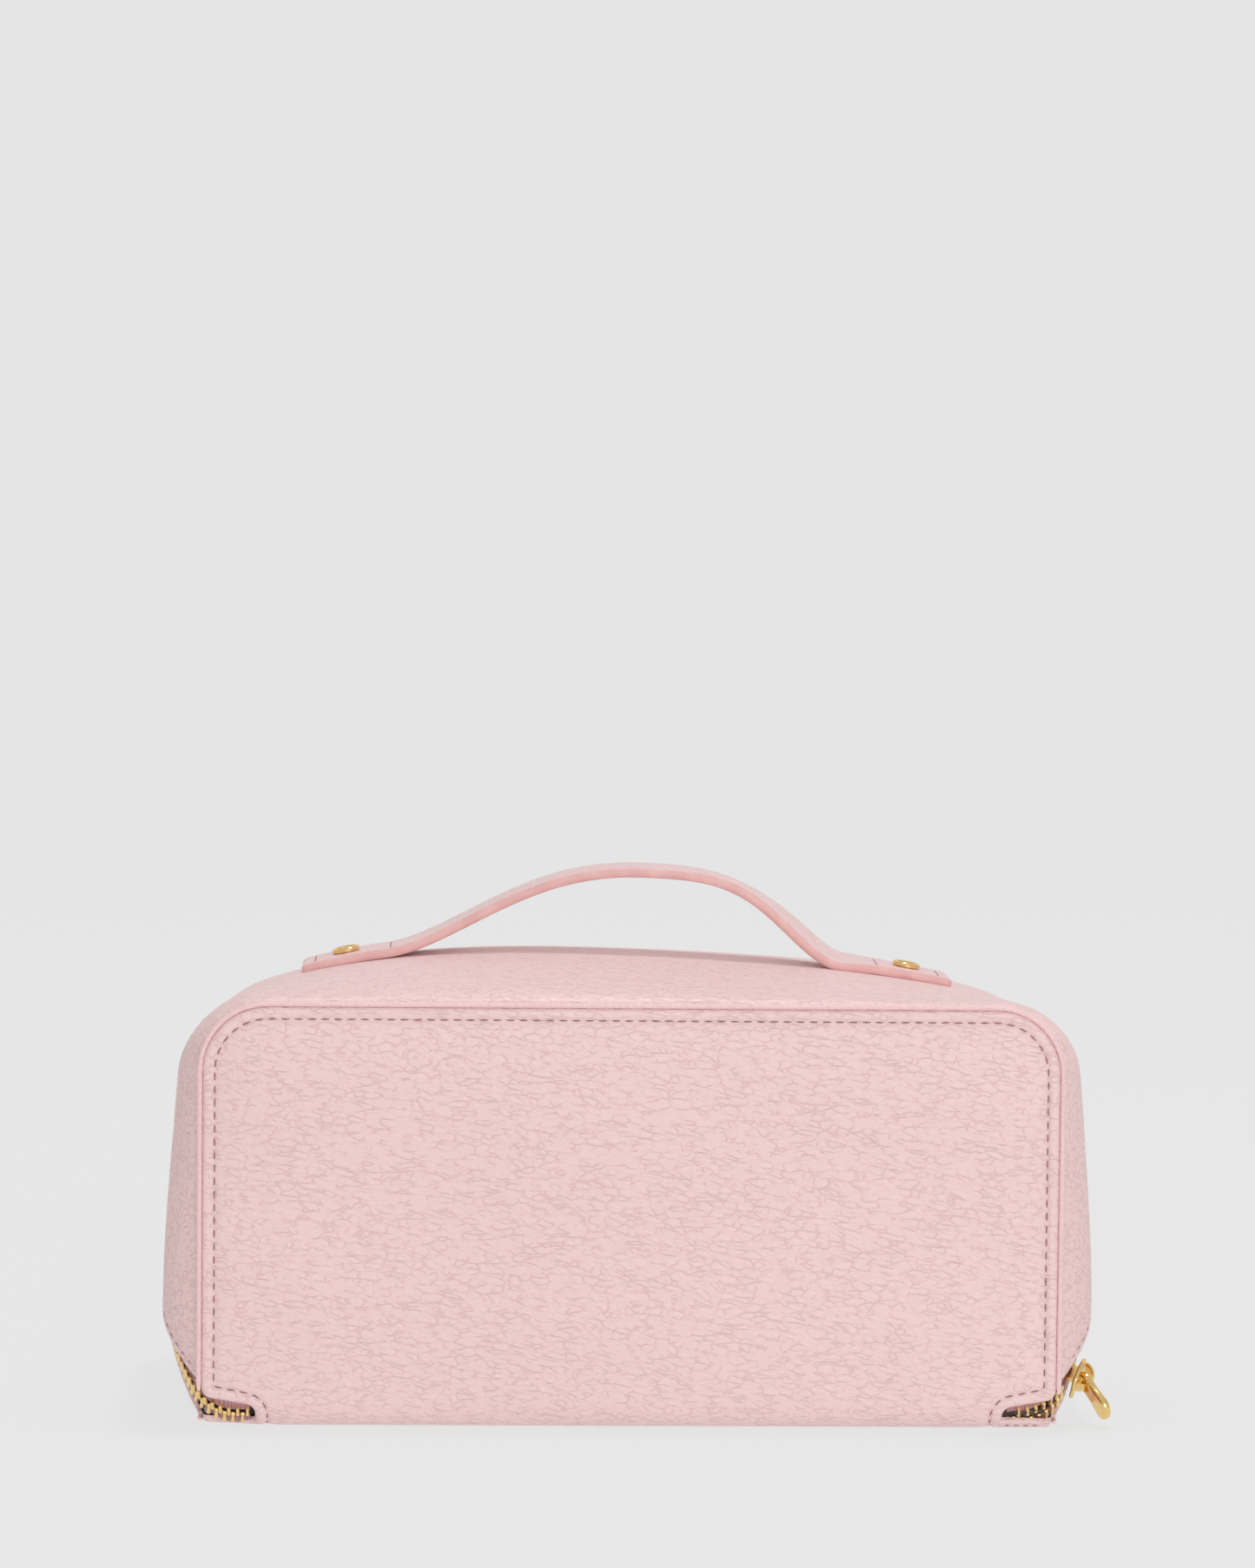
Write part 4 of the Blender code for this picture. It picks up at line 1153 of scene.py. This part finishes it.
@dataclass
class Lining:
    """Cloth lining of one tray's wall. The floor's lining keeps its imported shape."""

    gusset: Gusset
    inset: float = 4.4 * MM
    thickness: float = 0.6 * MM
    level: float = 4.2 * MM

    def build(self) -> None:
        """Builds the wall lining."""
        gusset = self.gusset
        offset = gusset.tray.opening_half
        outer = gusset.surface(self.inset, self.level, offset, False)
        inner = gusset.surface(self.inset + self.thickness, self.level, offset, False)
        piece = Piece(gusset.word + "_lining_cloth")
        piece.slab(outer, inner)
        piece.finish(gusset.finishes.lining, gusset.body, (gusset.word + "_lining",), 70)


# ---------------------------------------------------------------- zip

@dataclass
class ZipLine:
    """The zip's course: out along the hinge edge, round on to the side wall, over the far edge and back."""

    tray: Tray
    end_x: float = 98 * MM
    turn_radius: float = 10 * MM
    nudge: float = 0.4 * MM

    def __post_init__(self) -> None:
        """Works out directions and the lengths of the stretches of one half."""
        shape = self.tray.shape
        self.along = Vector((0, self.tray.slope_level, self.tray.slope_reach))
        self.across = Vector((0, -self.tray.slope_reach, self.tray.slope_level))
        self.origin = Vector((0, shape.back + shape.bend_middle, shape.bend_middle))
        run = shape.height - shape.corner - shape.bend_middle
        self.straight = math.hypot(run, shape.depth - shape.corner - shape.bend_middle)
        turn = self.turn_radius
        self.stretches = (
            shape.half_width - turn - self.end_x, turn * math.pi / 2, self.straight - turn,
            shape.corner * math.pi / 2, shape.inner_half,
        )
        self.half = sum(self.stretches)

    def at(self, length: float) -> tuple[Vector, Vector, bool]:
        """Point at a length from the left end, its outward direction, and whether it is on the hook."""
        if length > self.half:
            point, outward, hook = self.at(2 * self.half - length)
            flip = Vector((-1, 1, 1))
            return point * flip, outward * flip, hook
        shape, turn = self.tray.shape, self.turn_radius
        left = Vector((-1, 0, 0))
        hinge_run, hook_run, side_run, corner_run, _ = self.stretches
        if length <= hinge_run:
            return self.origin + left * (self.end_x + length), -self.along, True
        length -= hinge_run
        if length <= hook_run:
            angle = length / turn
            outward = -self.along * math.cos(angle) + left * math.sin(angle)
            center = self.origin + left * (shape.half_width - turn) + self.along * turn
            return center + outward * turn, outward, True
        length -= hook_run
        if length <= side_run:
            return self.origin + left * shape.half_width + self.along * (turn + length), left, False
        length -= side_run
        corner = self.origin + left * shape.inner_half + self.along * self.straight
        if length <= corner_run:
            angle = length / shape.corner
            outward = left * math.cos(angle) + self.along * math.sin(angle)
            return corner + outward * shape.corner, outward, False
        length -= corner_run
        return corner + self.along * shape.corner - left * length, self.along, False

    def point(self, length: float, offset: float, depth: float) -> Vector:
        """Point on the soft case beside the zip line: offset towards the cover, depth below the surface."""
        place, outward, hook = self.at(length)
        shape = self.tray.shape
        wide = place + self.across * offset
        if hook:
            return shape.soften(wide - outward * depth)
        core = Vector((
            clamp(wide.x, -shape.inner_half, shape.inner_half), min(shape.front - shape.corner, wide.y),
            min(shape.height - shape.corner, wide.z),
        ))
        return shape.soften(core + (wide - core).normalized() * (shape.corner - depth))

    def directions(self, length: float, offset: float, depth: float) -> tuple[Vector, Vector, Vector, Vector]:
        """Point, with the directions along the zip, across it and outward."""
        here = self.point(length, offset, depth)
        ahead = self.point(length + self.nudge, offset, depth)
        behind = self.point(length - self.nudge, offset, depth)
        along = (ahead - behind).normalized()
        across = (self.point(length, offset + MM, depth) - here).normalized()
        outward = across.cross(along).normalized()
        return here, along, across, outward


@dataclass
class Zip:
    """Two woven tapes and two rows of metal teeth."""

    line: ZipLine
    base_tray: Tray
    finishes: Finishes
    pitch: float = 2.54 * MM
    teeth_depth: float = 1.7 * MM
    tape_depth: float = 2.1 * MM
    tape_half: float = 11 * MM
    tape_half_at_ends: float = 4.4 * MM
    tape_inner: float = 1.3 * MM
    floor_level: float = 4.5 * MM
    slider_at: float = 15 * MM
    slider_gap: float = 4.4 * MM
    parting: float = 1.3 * MM
    # Share of the tape's width and depth in mm under its face, round its section.
    tape_section: Sequence[Pair] = (
        (0, 0.0), (0.1, -0.22), (0.22, -0.05), (1, 0.0), (1, 0.6), (0.22, 0.6), (0, 0.6),
    )
    # Distance from the zip's line, half width and half height of a tooth, in mm, from head to foot.
    tooth: Sequence[tuple[float, float, float]] = (
        (-0.62, 0.28, 0.30), (-0.42, 0.50, 0.55), (0.10, 0.60, 0.70), (0.55, 0.50, 0.62), (0.95, 0.42, 0.60),
        (1.5, 0.50, 0.85), (2.6, 0.55, 0.95), (3.0, 0.42, 0.78),
    )
    tooth_section: Sequence[Pair] = (
        (-1, -0.5), (-0.5, -1), (0.5, -1), (1, -0.5), (1, 0.5), (0.5, 1), (-0.5, 1), (-1, 0.5),
    )

    def slider_length(self) -> float:
        """Length along the zip of the slider's centre."""
        hinge_run, hook_run, _, _, _ = self.line.stretches
        return 2 * self.line.half - hinge_run - hook_run - (self.slider_at - self.line.turn_radius)

    def shift(self, length: float) -> float:
        """How far the rows stand apart past the slider."""
        past = (length - self.slider_length()) / (2 * self.line.half - self.slider_length())
        return self.parting * math.sin(math.pi * clamp(past, 0.0, 1.0)) ** 0.6 if past > 0 else 0.0

    def build(self) -> None:
        """Builds both sides."""
        for side, word, body in ((1, "cover", Body.COVER), (-1, "base", Body.BASE)):
            self.build_tape(side, word, body)
            self.build_teeth(side, word, body)

    def build_tape(self, side: int, word: str, body: Body) -> None:
        """Woven tape on one side of the zip, with a rolled cord under the teeth."""
        tray = self.line.tray if side > 0 else self.base_tray
        sections, lengths = [], []
        steps = 260
        for step in range(steps + 1):
            length = 2 * self.line.half * step / steps
            place = self.line.at(length)[0]
            reach = (place - self.line.origin).dot(self.line.along)
            room = (tray.shape.bend_middle + reach * tray.slope_level - self.floor_level) / tray.slope_reach
            outer = min(self.tape_half, max(self.tape_half_at_ends, room))
            inner = self.tape_inner + self.shift(length)
            ring = []
            for share, depth in self.tape_section:
                offset = side * (inner + (outer - inner) * share)
                ring.append(self.line.point(length, offset, self.tape_depth + depth * MM))
            sections.append(ring)
            lengths.append(length)
        piece = Piece(word + "_zip_tape_cloth")
        piece.swept(sections)
        origin, along, across = self.line.origin, self.line.along, self.line.across

        def where(point: Vector) -> Pair:
            """Length and width along the strip."""
            flat = point - origin
            return (flat.x + abs(flat.dot(along))), flat.dot(across)

        piece.strip_map(where)
        piece.finish(self.finishes.tape, body, (word + "_zip_tape",), 60)

    def build_teeth(self, side: int, word: str, body: Body) -> None:
        """One row of teeth, each with a rounded head, a neck and a foot clamped on the tape."""
        piece = Piece(word + "_zip_teeth")
        middle = self.slider_length()
        count = int(2 * self.line.half / self.pitch)
        for index in range(count):
            length = self.pitch * (index + (0.25 if side > 0 else 0.75))
            if abs(length - middle) < self.slider_gap or length > 2 * self.line.half - MM:
                continue
            shift = self.shift(length)
            here, along, across, outward = self.line.directions(length, side * shift, self.teeth_depth)
            sections = []
            for offset, wide, tall in self.tooth:
                sections.append([
                    here + across * side * offset * MM + along * u * wide * MM + outward * w * tall * MM
                    for u, w in self.tooth_section
                ])
            piece.swept(sections)
        piece.finish(self.finishes.teeth, body, (word + "_teeth", word + "_teeth_end"), 40)


@dataclass
class SliderAndPull:
    """Slider body, the bridge on it and the pull, with softly rounded edges."""

    finishes: Finishes
    length: float = 10.5 * MM
    width: float = 9.2 * MM
    plate: float = 1.1 * MM
    top_level: float = -0.05 * MM
    low_level: float = -3.75 * MM
    bridge_length: float = 8.0 * MM
    bridge_height: float = 3.4 * MM
    bridge_width: float = 2.6 * MM
    bridge_thick: float = 0.95 * MM

    def __post_init__(self) -> None:
        """Reads the slider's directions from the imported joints."""
        joints = {joint["name"]: joint for joint in frame["joints"]}
        self.forward = Vector(joints["slider_travel"]["axis"]).normalized()
        self.sideways = Vector(joints["pull_swing"]["axis"]).normalized()
        self.pivot = Vector(joints["pull_swing"]["pos_m"])
        self.outward = self.sideways.cross(self.forward).normalized()
        if self.outward.x < 0:
            self.outward = -self.outward
        self.place = self.pivot - self.outward * 1.65 * MM

    def plate_mesh(
        self, outlines: Sequence[Sequence[Pair]], thickness: float, rounding: float, matrix: Matrix
    ) -> bmesh.types.BMesh:
        """Flat plate with rounded rims and any holes.

        Args:
            outlines: the outer outline, then its holes.
            thickness: full thickness.
            rounding: radius of the rims.
            matrix: from the plate's own x and y to the case's frame.

        Returns:
            The plate's mesh.
        """
        curve = bpy.data.curves.new("plate", "CURVE")
        curve.dimensions = "2D"
        curve.fill_mode = "BOTH"
        curve.extrude = thickness / 2 - rounding
        curve.bevel_depth = rounding
        curve.bevel_resolution = 3
        curve.offset = -rounding
        for outline in outlines:
            spline = curve.splines.new("POLY")
            spline.points.add(len(outline) - 1)
            for point, (x, y) in zip(spline.points, outline):
                point.co = (x, y, 0, 1)
            spline.use_cyclic_u = True
        holder = bpy.data.objects.new("plate", curve)
        bpy.context.scene.collection.objects.link(holder)
        evaluated = holder.evaluated_get(bpy.context.evaluated_depsgraph_get())
        data = bpy.data.meshes.new_from_object(evaluated)
        made = bmesh.new()
        made.from_mesh(data)
        bmesh.ops.remove_doubles(made, verts=made.verts, dist=0.004 * MM)
        made.transform(matrix)
        bpy.data.objects.remove(holder)
        bpy.data.curves.remove(curve)
        bpy.data.meshes.remove(data)
        return made

    def add(self, piece: Piece, made: bmesh.types.BMesh) -> None:
        """Puts a made mesh into a piece."""
        data = bpy.data.meshes.new("part")
        made.to_mesh(data)
        made.free()
        piece.mesh.from_mesh(data)
        bpy.data.meshes.remove(data)

    def matrix(self, out: float, run: Vector, side: Vector) -> Matrix:
        """Own x and y along two directions, at a height over the slider's place."""
        up = run.cross(side).normalized()
        rows = Matrix((run, side, up)).transposed().to_4x4()
        return Matrix.Translation(self.place + self.outward * out) @ rows

    def build(self) -> None:
        """Builds the three pieces."""
        self.build_body()
        self.build_bridge()
        self.build_pull()

    def build_body(self) -> None:
        """Two shield-shaped plates joined by the post."""
        half, wide = self.length / 2, self.width / 2
        outline = arc((half - 2.6 * MM, 0.0), 2.6 * MM, -60, 60, 10)
        outline += [(0.5 * MM, wide), (-1.5 * MM, wide * 0.98)]
        outline += arc((-half + 1.6 * MM, wide * 0.62), 1.6 * MM, 90, 180, 6)
        outline += arc((-half + 1.6 * MM, -wide * 0.62), 1.6 * MM, 180, 270, 6)
        outline += [(-1.5 * MM, -wide * 0.98), (0.5 * MM, -wide)]
        piece = Piece("slider_body_cast")
        for level in (self.top_level + self.plate / 2, self.low_level - self.plate / 2):
            matrix = self.matrix(level, self.forward, self.sideways)
            self.add(piece, self.plate_mesh([outline], self.plate, 0.4 * MM, matrix))
        post = [
            (2.8 * MM, 0.0), (1.2 * MM, 1.0 * MM), (-2.2 * MM, 0.9 * MM), (-2.2 * MM, -0.9 * MM),
            (1.2 * MM, -1.0 * MM),
        ]
        height = self.top_level - self.low_level + 0.2 * MM
        matrix = self.matrix((self.top_level + self.low_level) / 2, self.forward, self.sideways)
        self.add(piece, self.plate_mesh([post], height, 0.2 * MM, matrix))
        piece.finish(self.finishes.gold, Body.SLIDER, ("slider_body",), 40)

    def build_bridge(self) -> None:
        """Arched bridge that carries the pull."""
        base = self.top_level + self.plate
        piece = Piece("slider_bridge_arch")
        sections = []
        steps = 28
        for step in range(steps + 1):
            angle = math.pi * step / steps
            radial = self.outward * math.sin(angle) * self.bridge_height
            radial -= self.forward * math.cos(angle) * self.bridge_length / 2
            center = self.place + self.outward * (base + 0.1 * MM)
            center += radial * (1 - self.bridge_thick / self.bridge_length)
            normal = (self.outward * math.sin(angle) - self.forward * math.cos(angle) * 0.8).normalized()
            half, thick = self.bridge_width / 2, self.bridge_thick / 2
            spread = 1.0 + 0.35 * math.cos(angle) ** 4
            ring = []
            for turn in turns(16):
                u = math.copysign(abs(math.cos(turn)) ** 0.6, math.cos(turn)) * half * spread
                w = math.copysign(abs(math.sin(turn)) ** 0.7, math.sin(turn)) * thick
                ring.append(center + self.sideways * u + normal * w)
            sections.append(ring)
        piece.swept(sections)
        piece.finish(self.finishes.gold, Body.SLIDER, ("slider_bridge",), 40)

    def build_pull(self) -> None:
        """Pull: an eye on the bridge and a rounded tag."""
        low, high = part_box("pull_tab")
        away = (low + high) / 2 - self.pivot
        away = (away - self.sideways * away.dot(self.sideways)).normalized()
        outline = arc((10.0 * MM, 0.0), 3.5 * MM, -82, 82, 14)
        outline += [(6.6 * MM, 2.75 * MM), (4.9 * MM, 2.7 * MM)]
        outline += arc((2.0 * MM, 0.0), 3.1 * MM, 60, 300, 22)
        outline += [(4.9 * MM, -2.7 * MM), (6.6 * MM, -2.75 * MM)]
        hole = [(2.5 * MM + 1.75 * MM * math.cos(a), 1.62 * MM * math.sin(a)) for a in turns(24)]
        rows = Matrix((away, self.sideways, away.cross(self.sideways))).transposed().to_4x4()
        matrix = Matrix.Translation(self.pivot) @ rows
        piece = Piece("pull_tab_cast")
        self.add(piece, self.plate_mesh([outline, hole], 1.9 * MM, 0.62 * MM, matrix))
        piece.finish(self.finishes.gold, Body.PULL, ("pull_tab",), 50)


# ---------------------------------------------------------------- handle

@dataclass
class Handle:
    """Strap of two leathers with thick painted edges, held by a screw stud at each end."""

    shape: CaseShape
    finishes: Finishes
    width: float = 20 * MM
    end_x: float = 86 * MM
    crown_x: float = 6 * MM
    rise: float = 20 * MM
    left_span: float = 70 * MM
    right_span: float = 51 * MM
    left_fullness: float = 2.3
    right_fullness: float = 3.2
    thickness: float = 2.5 * MM
    clearance: float = 0.6 * MM
    stud_x: float = 74.3 * MM
    twist: float = 7.0
    twist_x: float = 47 * MM
    twist_run: float = 13 * MM
    edge_round: float = 0.55
    end_round: float = 1.6 * MM
    stitch_rows: Sequence[float] = (-82.3 * MM, -62.5 * MM, 66.0 * MM, 82.3 * MM)
    post_radius: float = 1.35
    # Lift over the strap and radius of a stud's head, in mm, from under its rim to its middle.
    stud_head: Sequence[Pair] = (
        (0.0, 1.35), (0.0, 3.35), (0.25, 3.62), (0.95, 3.66), (1.25, 3.45), (1.38, 3.1), (1.34, 2.75),
        (1.12, 2.6), (1.12, 1.2), (1.12, 0.3),
    )

    def underside(self, x: float) -> float:
        """Height of the strap's underside."""
        dome = self.shape.soften(Vector((x, 0.0, self.shape.height))).z
        right = x > self.crown_x
        span = self.right_span if right else self.left_span
        fullness = self.right_fullness if right else self.left_fullness
        share = min(1.0, abs(x - self.crown_x) / span)
        return dome + self.clearance + self.rise * (1 - share ** fullness) ** 2

    def section_frame(self, x: float) -> tuple[Vector, Vector, Vector]:
        """Point on the underside, with the directions up through the strap and across it."""
        nudge = 0.5 * MM
        slope = (self.underside(x + nudge) - self.underside(x - nudge)) / (2 * nudge)
        normal = Vector((-slope, 0, 1)).normalized()
        along = Vector((1, 0, slope)).normalized()
        turn = math.radians(self.twist) * math.exp(-((x - self.twist_x) / self.twist_run) ** 2)
        spin = Matrix.Rotation(turn, 3, along)
        return Vector((x, 0, self.underside(x))), spin @ normal, spin @ Vector((0, 1, 0))

    def ring(self, half: float, low: float, high: float) -> list[tuple[float, float, int]]:
        """Cross-section: flat leather faces and rounded painted edges, as (across, up, slot)."""
        middle, thick = (low + high) / 2, (high - low) / 2
        points = []
        steps = 8
        for side, level, first in ((1, low, 0), (-1, high, 1)):
            for step in range(first, steps):
                points.append((side * (-half + 2 * half * step / steps), level, 0))
            for step in range(steps + 1):
                angle = math.pi * (step / steps - 0.5 * side)
                out = self.edge_round * thick * math.cos(angle)
                points.append((side * half + out, middle + thick * math.sin(angle), 1))
        return points[1:]

    def build(self) -> None:
        """Builds the strap, its stitches and the studs."""
        piece = Piece("handle_strap_leather")
        sections, slots = [], []
        stops = [0.0, 0.15, 0.5, 1.0, 1.6]
        xs = [-self.end_x + value * MM for value in stops]
        xs += [-self.end_x + 3 * MM + (2 * self.end_x - 6 * MM) * step / 110 for step in range(111)]
        xs += [self.end_x - value * MM for value in reversed(stops)]
        for x in xs:
            from_end = (self.end_x - abs(x)) / self.end_round
            full = math.sqrt(max(0.0, 1 - (1 - clamp(from_end, 0.0, 1.0)) ** 2))
            half = self.width / 2 - 0.8 * MM - 0.9 * MM * (1 - full)
            thin = self.thickness * (1 - full) * 0.28
            place, up, across = self.section_frame(x)
            shape = self.ring(half, thin, self.thickness - thin)
            sections.append([place + across * a + up * u for a, u, slot in shape])
            slots = [slot for a, u, slot in shape]
        slots = [slots[i] and slots[(i + 1) % len(slots)] for i in range(len(slots))]
        piece.swept(sections, slots)
        piece.finish(
            [self.finishes.strap_leather, self.finishes.edge], Body.COVER,
            ("handle_strap", "handle_backing"), 60,
        )
        stitches = Piece("strap_end_stitches")
        sewer = Stitcher(length=2.0 * MM, pitch=2.9 * MM)
        for x in self.stitch_rows:
            place, up, across = self.section_frame(x)
            top = place + up * (self.thickness - 0.05 * MM)
            sewer.sew(stitches, [(top + across * (step - 8) * MM, up) for step in range(17)])
        stitches.finish(self.finishes.thread, Body.COVER)
        for side, word in ((-1, "left"), (1, "right")):
            self.build_stud(side * self.stud_x, word)

    def build_stud(self, x: float, word: str) -> None:
        """Turned screw stud: a rimmed head on a post that runs down through the case."""
        place, up, across = self.section_frame(x)
        seat = place + up * (self.thickness + 0.05 * MM)
        along = across.cross(up)
        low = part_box("stud_" + word)[0].z
        post = (seat.z - low) / up.z
        profile = [(-post, self.post_radius)] + [(lift * MM, radius) for lift, radius in self.stud_head]
        sections = []
        for height, radius in profile:
            sections.append([
                seat + up * height + (across * math.cos(a) + along * math.sin(a)) * radius * MM
                for a in turns(40)
            ])
        piece = Piece("stud_" + word + "_turned")
        piece.swept(sections)
        piece.finish(self.finishes.gold, Body.COVER, ("stud_" + word,), 35)


# ---------------------------------------------------------------- inside

@dataclass
class Inside:
    """Brush flap with its elastic loops, and the padded dividers."""

    finishes: Finishes
    crown: float = 0.5 * MM
    rim_run: float = 2.2 * MM
    groove_inset: float = 3.4 * MM
    groove_width: float = 0.5 * MM
    groove_depth: float = 0.35 * MM

    def pad(self, name: str, node: str, thin_axis: int, body: Body) -> None:
        """Padded board in its packed box: softly crowned faces, a pulled-in rim and a bound edge.

        Args:
            name: the piece's name.
            node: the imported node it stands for.
            thin_axis: axis of the pad's thickness.
            body: the body it rides on.
        """
        low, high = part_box(node)
        axes = [axis for axis in range(3) if axis != thin_axis]
        middle, size = (low + high) / 2, (high - low) / 2
        columns, rows = 48, 28
        faces = []
        for side in (1, -1):
            grid = []
            for i in range(columns + 1):
                line = []
                for j in range(rows + 1):
                    u, v = (2 * i / columns - 1), (2 * j / rows - 1)
                    u, v = math.sin(u * math.pi / 2), math.sin(v * math.pi / 2)
                    edge = min((1 - abs(u)) * size[axes[0]], (1 - abs(v)) * size[axes[1]])
                    thick = size[thin_axis] * (0.45 + 0.55 * ease(edge / self.rim_run))
                    groove = math.exp(-((edge - self.groove_inset) / self.groove_width) ** 2)
                    thick -= self.groove_depth * groove
                    thick += self.crown * 0.4 * (1 - u * u) * (1 - v * v)
                    point = middle.copy()
                    point[axes[0]] += u * size[axes[0]] * (1 - 0.02 * v ** 8)
                    point[axes[1]] += v * size[axes[1]] * (1 - 0.02 * u ** 8)
                    point[thin_axis] += side * thick
                    line.append(point)
                grid.append(line)
            faces.append(grid)
        piece = Piece(name)
        piece.slab(faces[0], faces[1])
        made = piece.finish(self.finishes.lining, body, (node,), 60)

    def loop(self, index: int) -> None:
        """Elastic loop on the brush flap, its two ends sewn down flat."""
        node = "brush_loop_" + str(index)
        low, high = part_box(node)
        flap_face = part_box("brush_flap")[1].y
        wide, tall = high.x - low.x, high.z - low.z
        outer, inner = [], []
        for step in range(33):
            share = step / 32
            bow = math.sin(math.pi * clamp((share - 0.08) / 0.84, 0, 1)) ** 0.8
            y = flap_face + 0.45 * MM + (high.y - flap_face - 1.1 * MM) * bow
            x = low.x + wide * share
            lines = ([], [])
            for row in range(9):
                z = low.z + tall * row / 8
                rib = 0.06 * MM * math.cos(math.pi * row)
                lines[0].append(Vector((x, y + 0.7 * MM + rib, z)))
                lines[1].append(Vector((x, y, z)))
            outer.append(lines[0])
            inner.append(lines[1])
        piece = Piece(node + "_elastic")
        piece.slab(outer, inner)
        piece.strip_map(lambda point: (point.z, point.x))
        piece.finish(self.finishes.elastic, Body.FLAP, (node,), 60)

    def build(self) -> None:
        """Builds the inside pieces."""
        self.pad("brush_flap_pad", "brush_flap", 1, Body.FLAP)
        for index in range(1, 6):
            self.loop(index)
        for word in ("left", "right"):
            self.pad("divider_" + word + "_pad", "divider_" + word, 0, Body.BASE)


# ---------------------------------------------------------------- stage

@dataclass
class Stage:
    """Pale sweep, soft studio light and the camera."""

    floor_tone: float = 0.12
    floor_glow: float = 0.69
    world_tone: float = 0.62
    camera_distance: float = 1.444
    camera_height: float = 0.268
    camera_side: float = -0.050
    tilt: float = 3.97
    yaw: float = -1.90
    roll: float = 0.55
    lens: float = 129.5

    def build(self) -> None:
        """Builds the sweep, the lights and the camera."""
        bpy.context.scene.view_settings.view_transform = "Standard"
        self.build_sweep()
        self.build_lights()
        self.build_camera()

    def build_sweep(self) -> None:
        """Floor that curves up into the backdrop."""
        profile = [(-4.0, 0.0), (-1.0, 0.0), (0.5, 0.0), (1.6, 0.0)]
        profile += [(1.6 + x, z) for x, z in arc((0.0, 1.0), 1.0, -85, 0, 16)]
        profile += [(2.6, 3.5)]
        made = bmesh.new()
        rows = [[made.verts.new((x, y, z)) for x in (-4.0, 4.0)] for y, z in profile]
        for low, high in zip(rows, rows[1:]):
            made.faces.new((low[0], low[1], high[1], high[0]))
        data = bpy.data.meshes.new("sweep")
        made.to_mesh(data)
        made.free()
        data.shade_smooth()
        sweep = bpy.data.objects.new("sweep", data)
        bpy.context.scene.collection.objects.link(sweep)
        graph = Graph("sweep_paper")
        grain = graph.noise(graph.place(), 3 * MM, 3.0)
        tone = graph.blend(grain, (self.floor_tone * 0.985,) * 3, (self.floor_tone,) * 3)
        data.materials.append(graph.dress(
            Base_Color=tone, Roughness=0.9 + grain * 0.05, Specular_IOR_Level=0.0,
            Emission_Color=(1.0, 1.0, 1.0), Emission_Strength=self.floor_glow,
        ))

    def build_lights(self) -> None:
        """Even world light, a small key light overhead and a broad fill in front."""
        world = bpy.data.worlds.new("studio")
        bpy.context.scene.world = world
        world.use_nodes = True
        background = world.node_tree.nodes["Background"]
        background.inputs["Color"].default_value = (self.world_tone,) * 3 + (1.0,)
        for name, place, size, power in (
            ("key", (0.20, 0.12, 1.90), 0.20, 9.0), ("fill", (0.55, -1.95, 0.35), 1.2, 16.5),
        ):
            light = bpy.data.lights.new(name, "AREA")
            light.size = size
            light.energy = power
            holder = bpy.data.objects.new(name, light)
            holder.location = place
            holder.rotation_mode = "QUATERNION"
            aim = Vector((0, 0, 0.07)) - Vector(place)
            holder.rotation_quaternion = aim.to_track_quat("-Z", "Y")
            bpy.context.scene.collection.objects.link(holder)

    def build_camera(self) -> None:
        """Camera behind the case, a little above it and turned down."""
        lens = bpy.data.cameras.new("camera")
        lens.lens = self.lens
        lens.sensor_width = 36.0
        lens.clip_start = 0.05
        camera = bpy.data.objects.new("camera", lens)
        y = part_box("back_panel")[0].y - self.camera_distance
        camera.location = (self.camera_side, y, self.camera_height)
        camera.rotation_mode = "QUATERNION"
        look = Matrix.Rotation(math.radians(self.yaw), 3, "Z")
        look = look @ Matrix.Rotation(math.radians(90 - self.tilt), 3, "X")
        look = look @ Matrix.Rotation(math.radians(self.roll), 3, "Z")
        camera.rotation_quaternion = look.to_quaternion()
        bpy.context.scene.collection.objects.link(camera)
        bpy.context.scene.camera = camera


def dress_kept_nodes(finishes: Finishes) -> None:
    """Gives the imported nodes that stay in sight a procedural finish."""
    kept = {
        "back_board": finishes.board, "bottom_board": finishes.board,
        "cover_foam": finishes.foam, "base_foam": finishes.foam,
        "cover_lining_floor": finishes.lining, "base_lining_floor": finishes.lining,
        "stud_nut_left": finishes.gold, "stud_nut_right": finishes.gold,
    }
    for name, look in kept.items():
        for slot in frame["nodes"][name].material_slots:
            slot.material = look
        LOG.info("%s dressed", name)


def main() -> None:
    """Builds every sub-assembly in order."""
    logging.basicConfig(level=logging.INFO, format="%(message)s")
    finishes = Finishes()
    shape = CaseShape()
    cover_tray = Tray(shape, True)
    base_tray = Tray(shape, False)
    Stage().build()
    wrap = WrapLeather(shape, finishes)
    wrap.build()
    EndTab(wrap).build()
    for tray in (cover_tray, base_tray):
        gusset = Gusset(tray, finishes)
        gusset.build()
        Lining(gusset).build()
    Zip(ZipLine(cover_tray), base_tray, finishes).build()
    SliderAndPull(finishes).build()
    Handle(shape, finishes).build()
    Inside(finishes).build()
    dress_kept_nodes(finishes)
    bpy.context.view_layer.update()


if __name__ == "__main__":
    main()
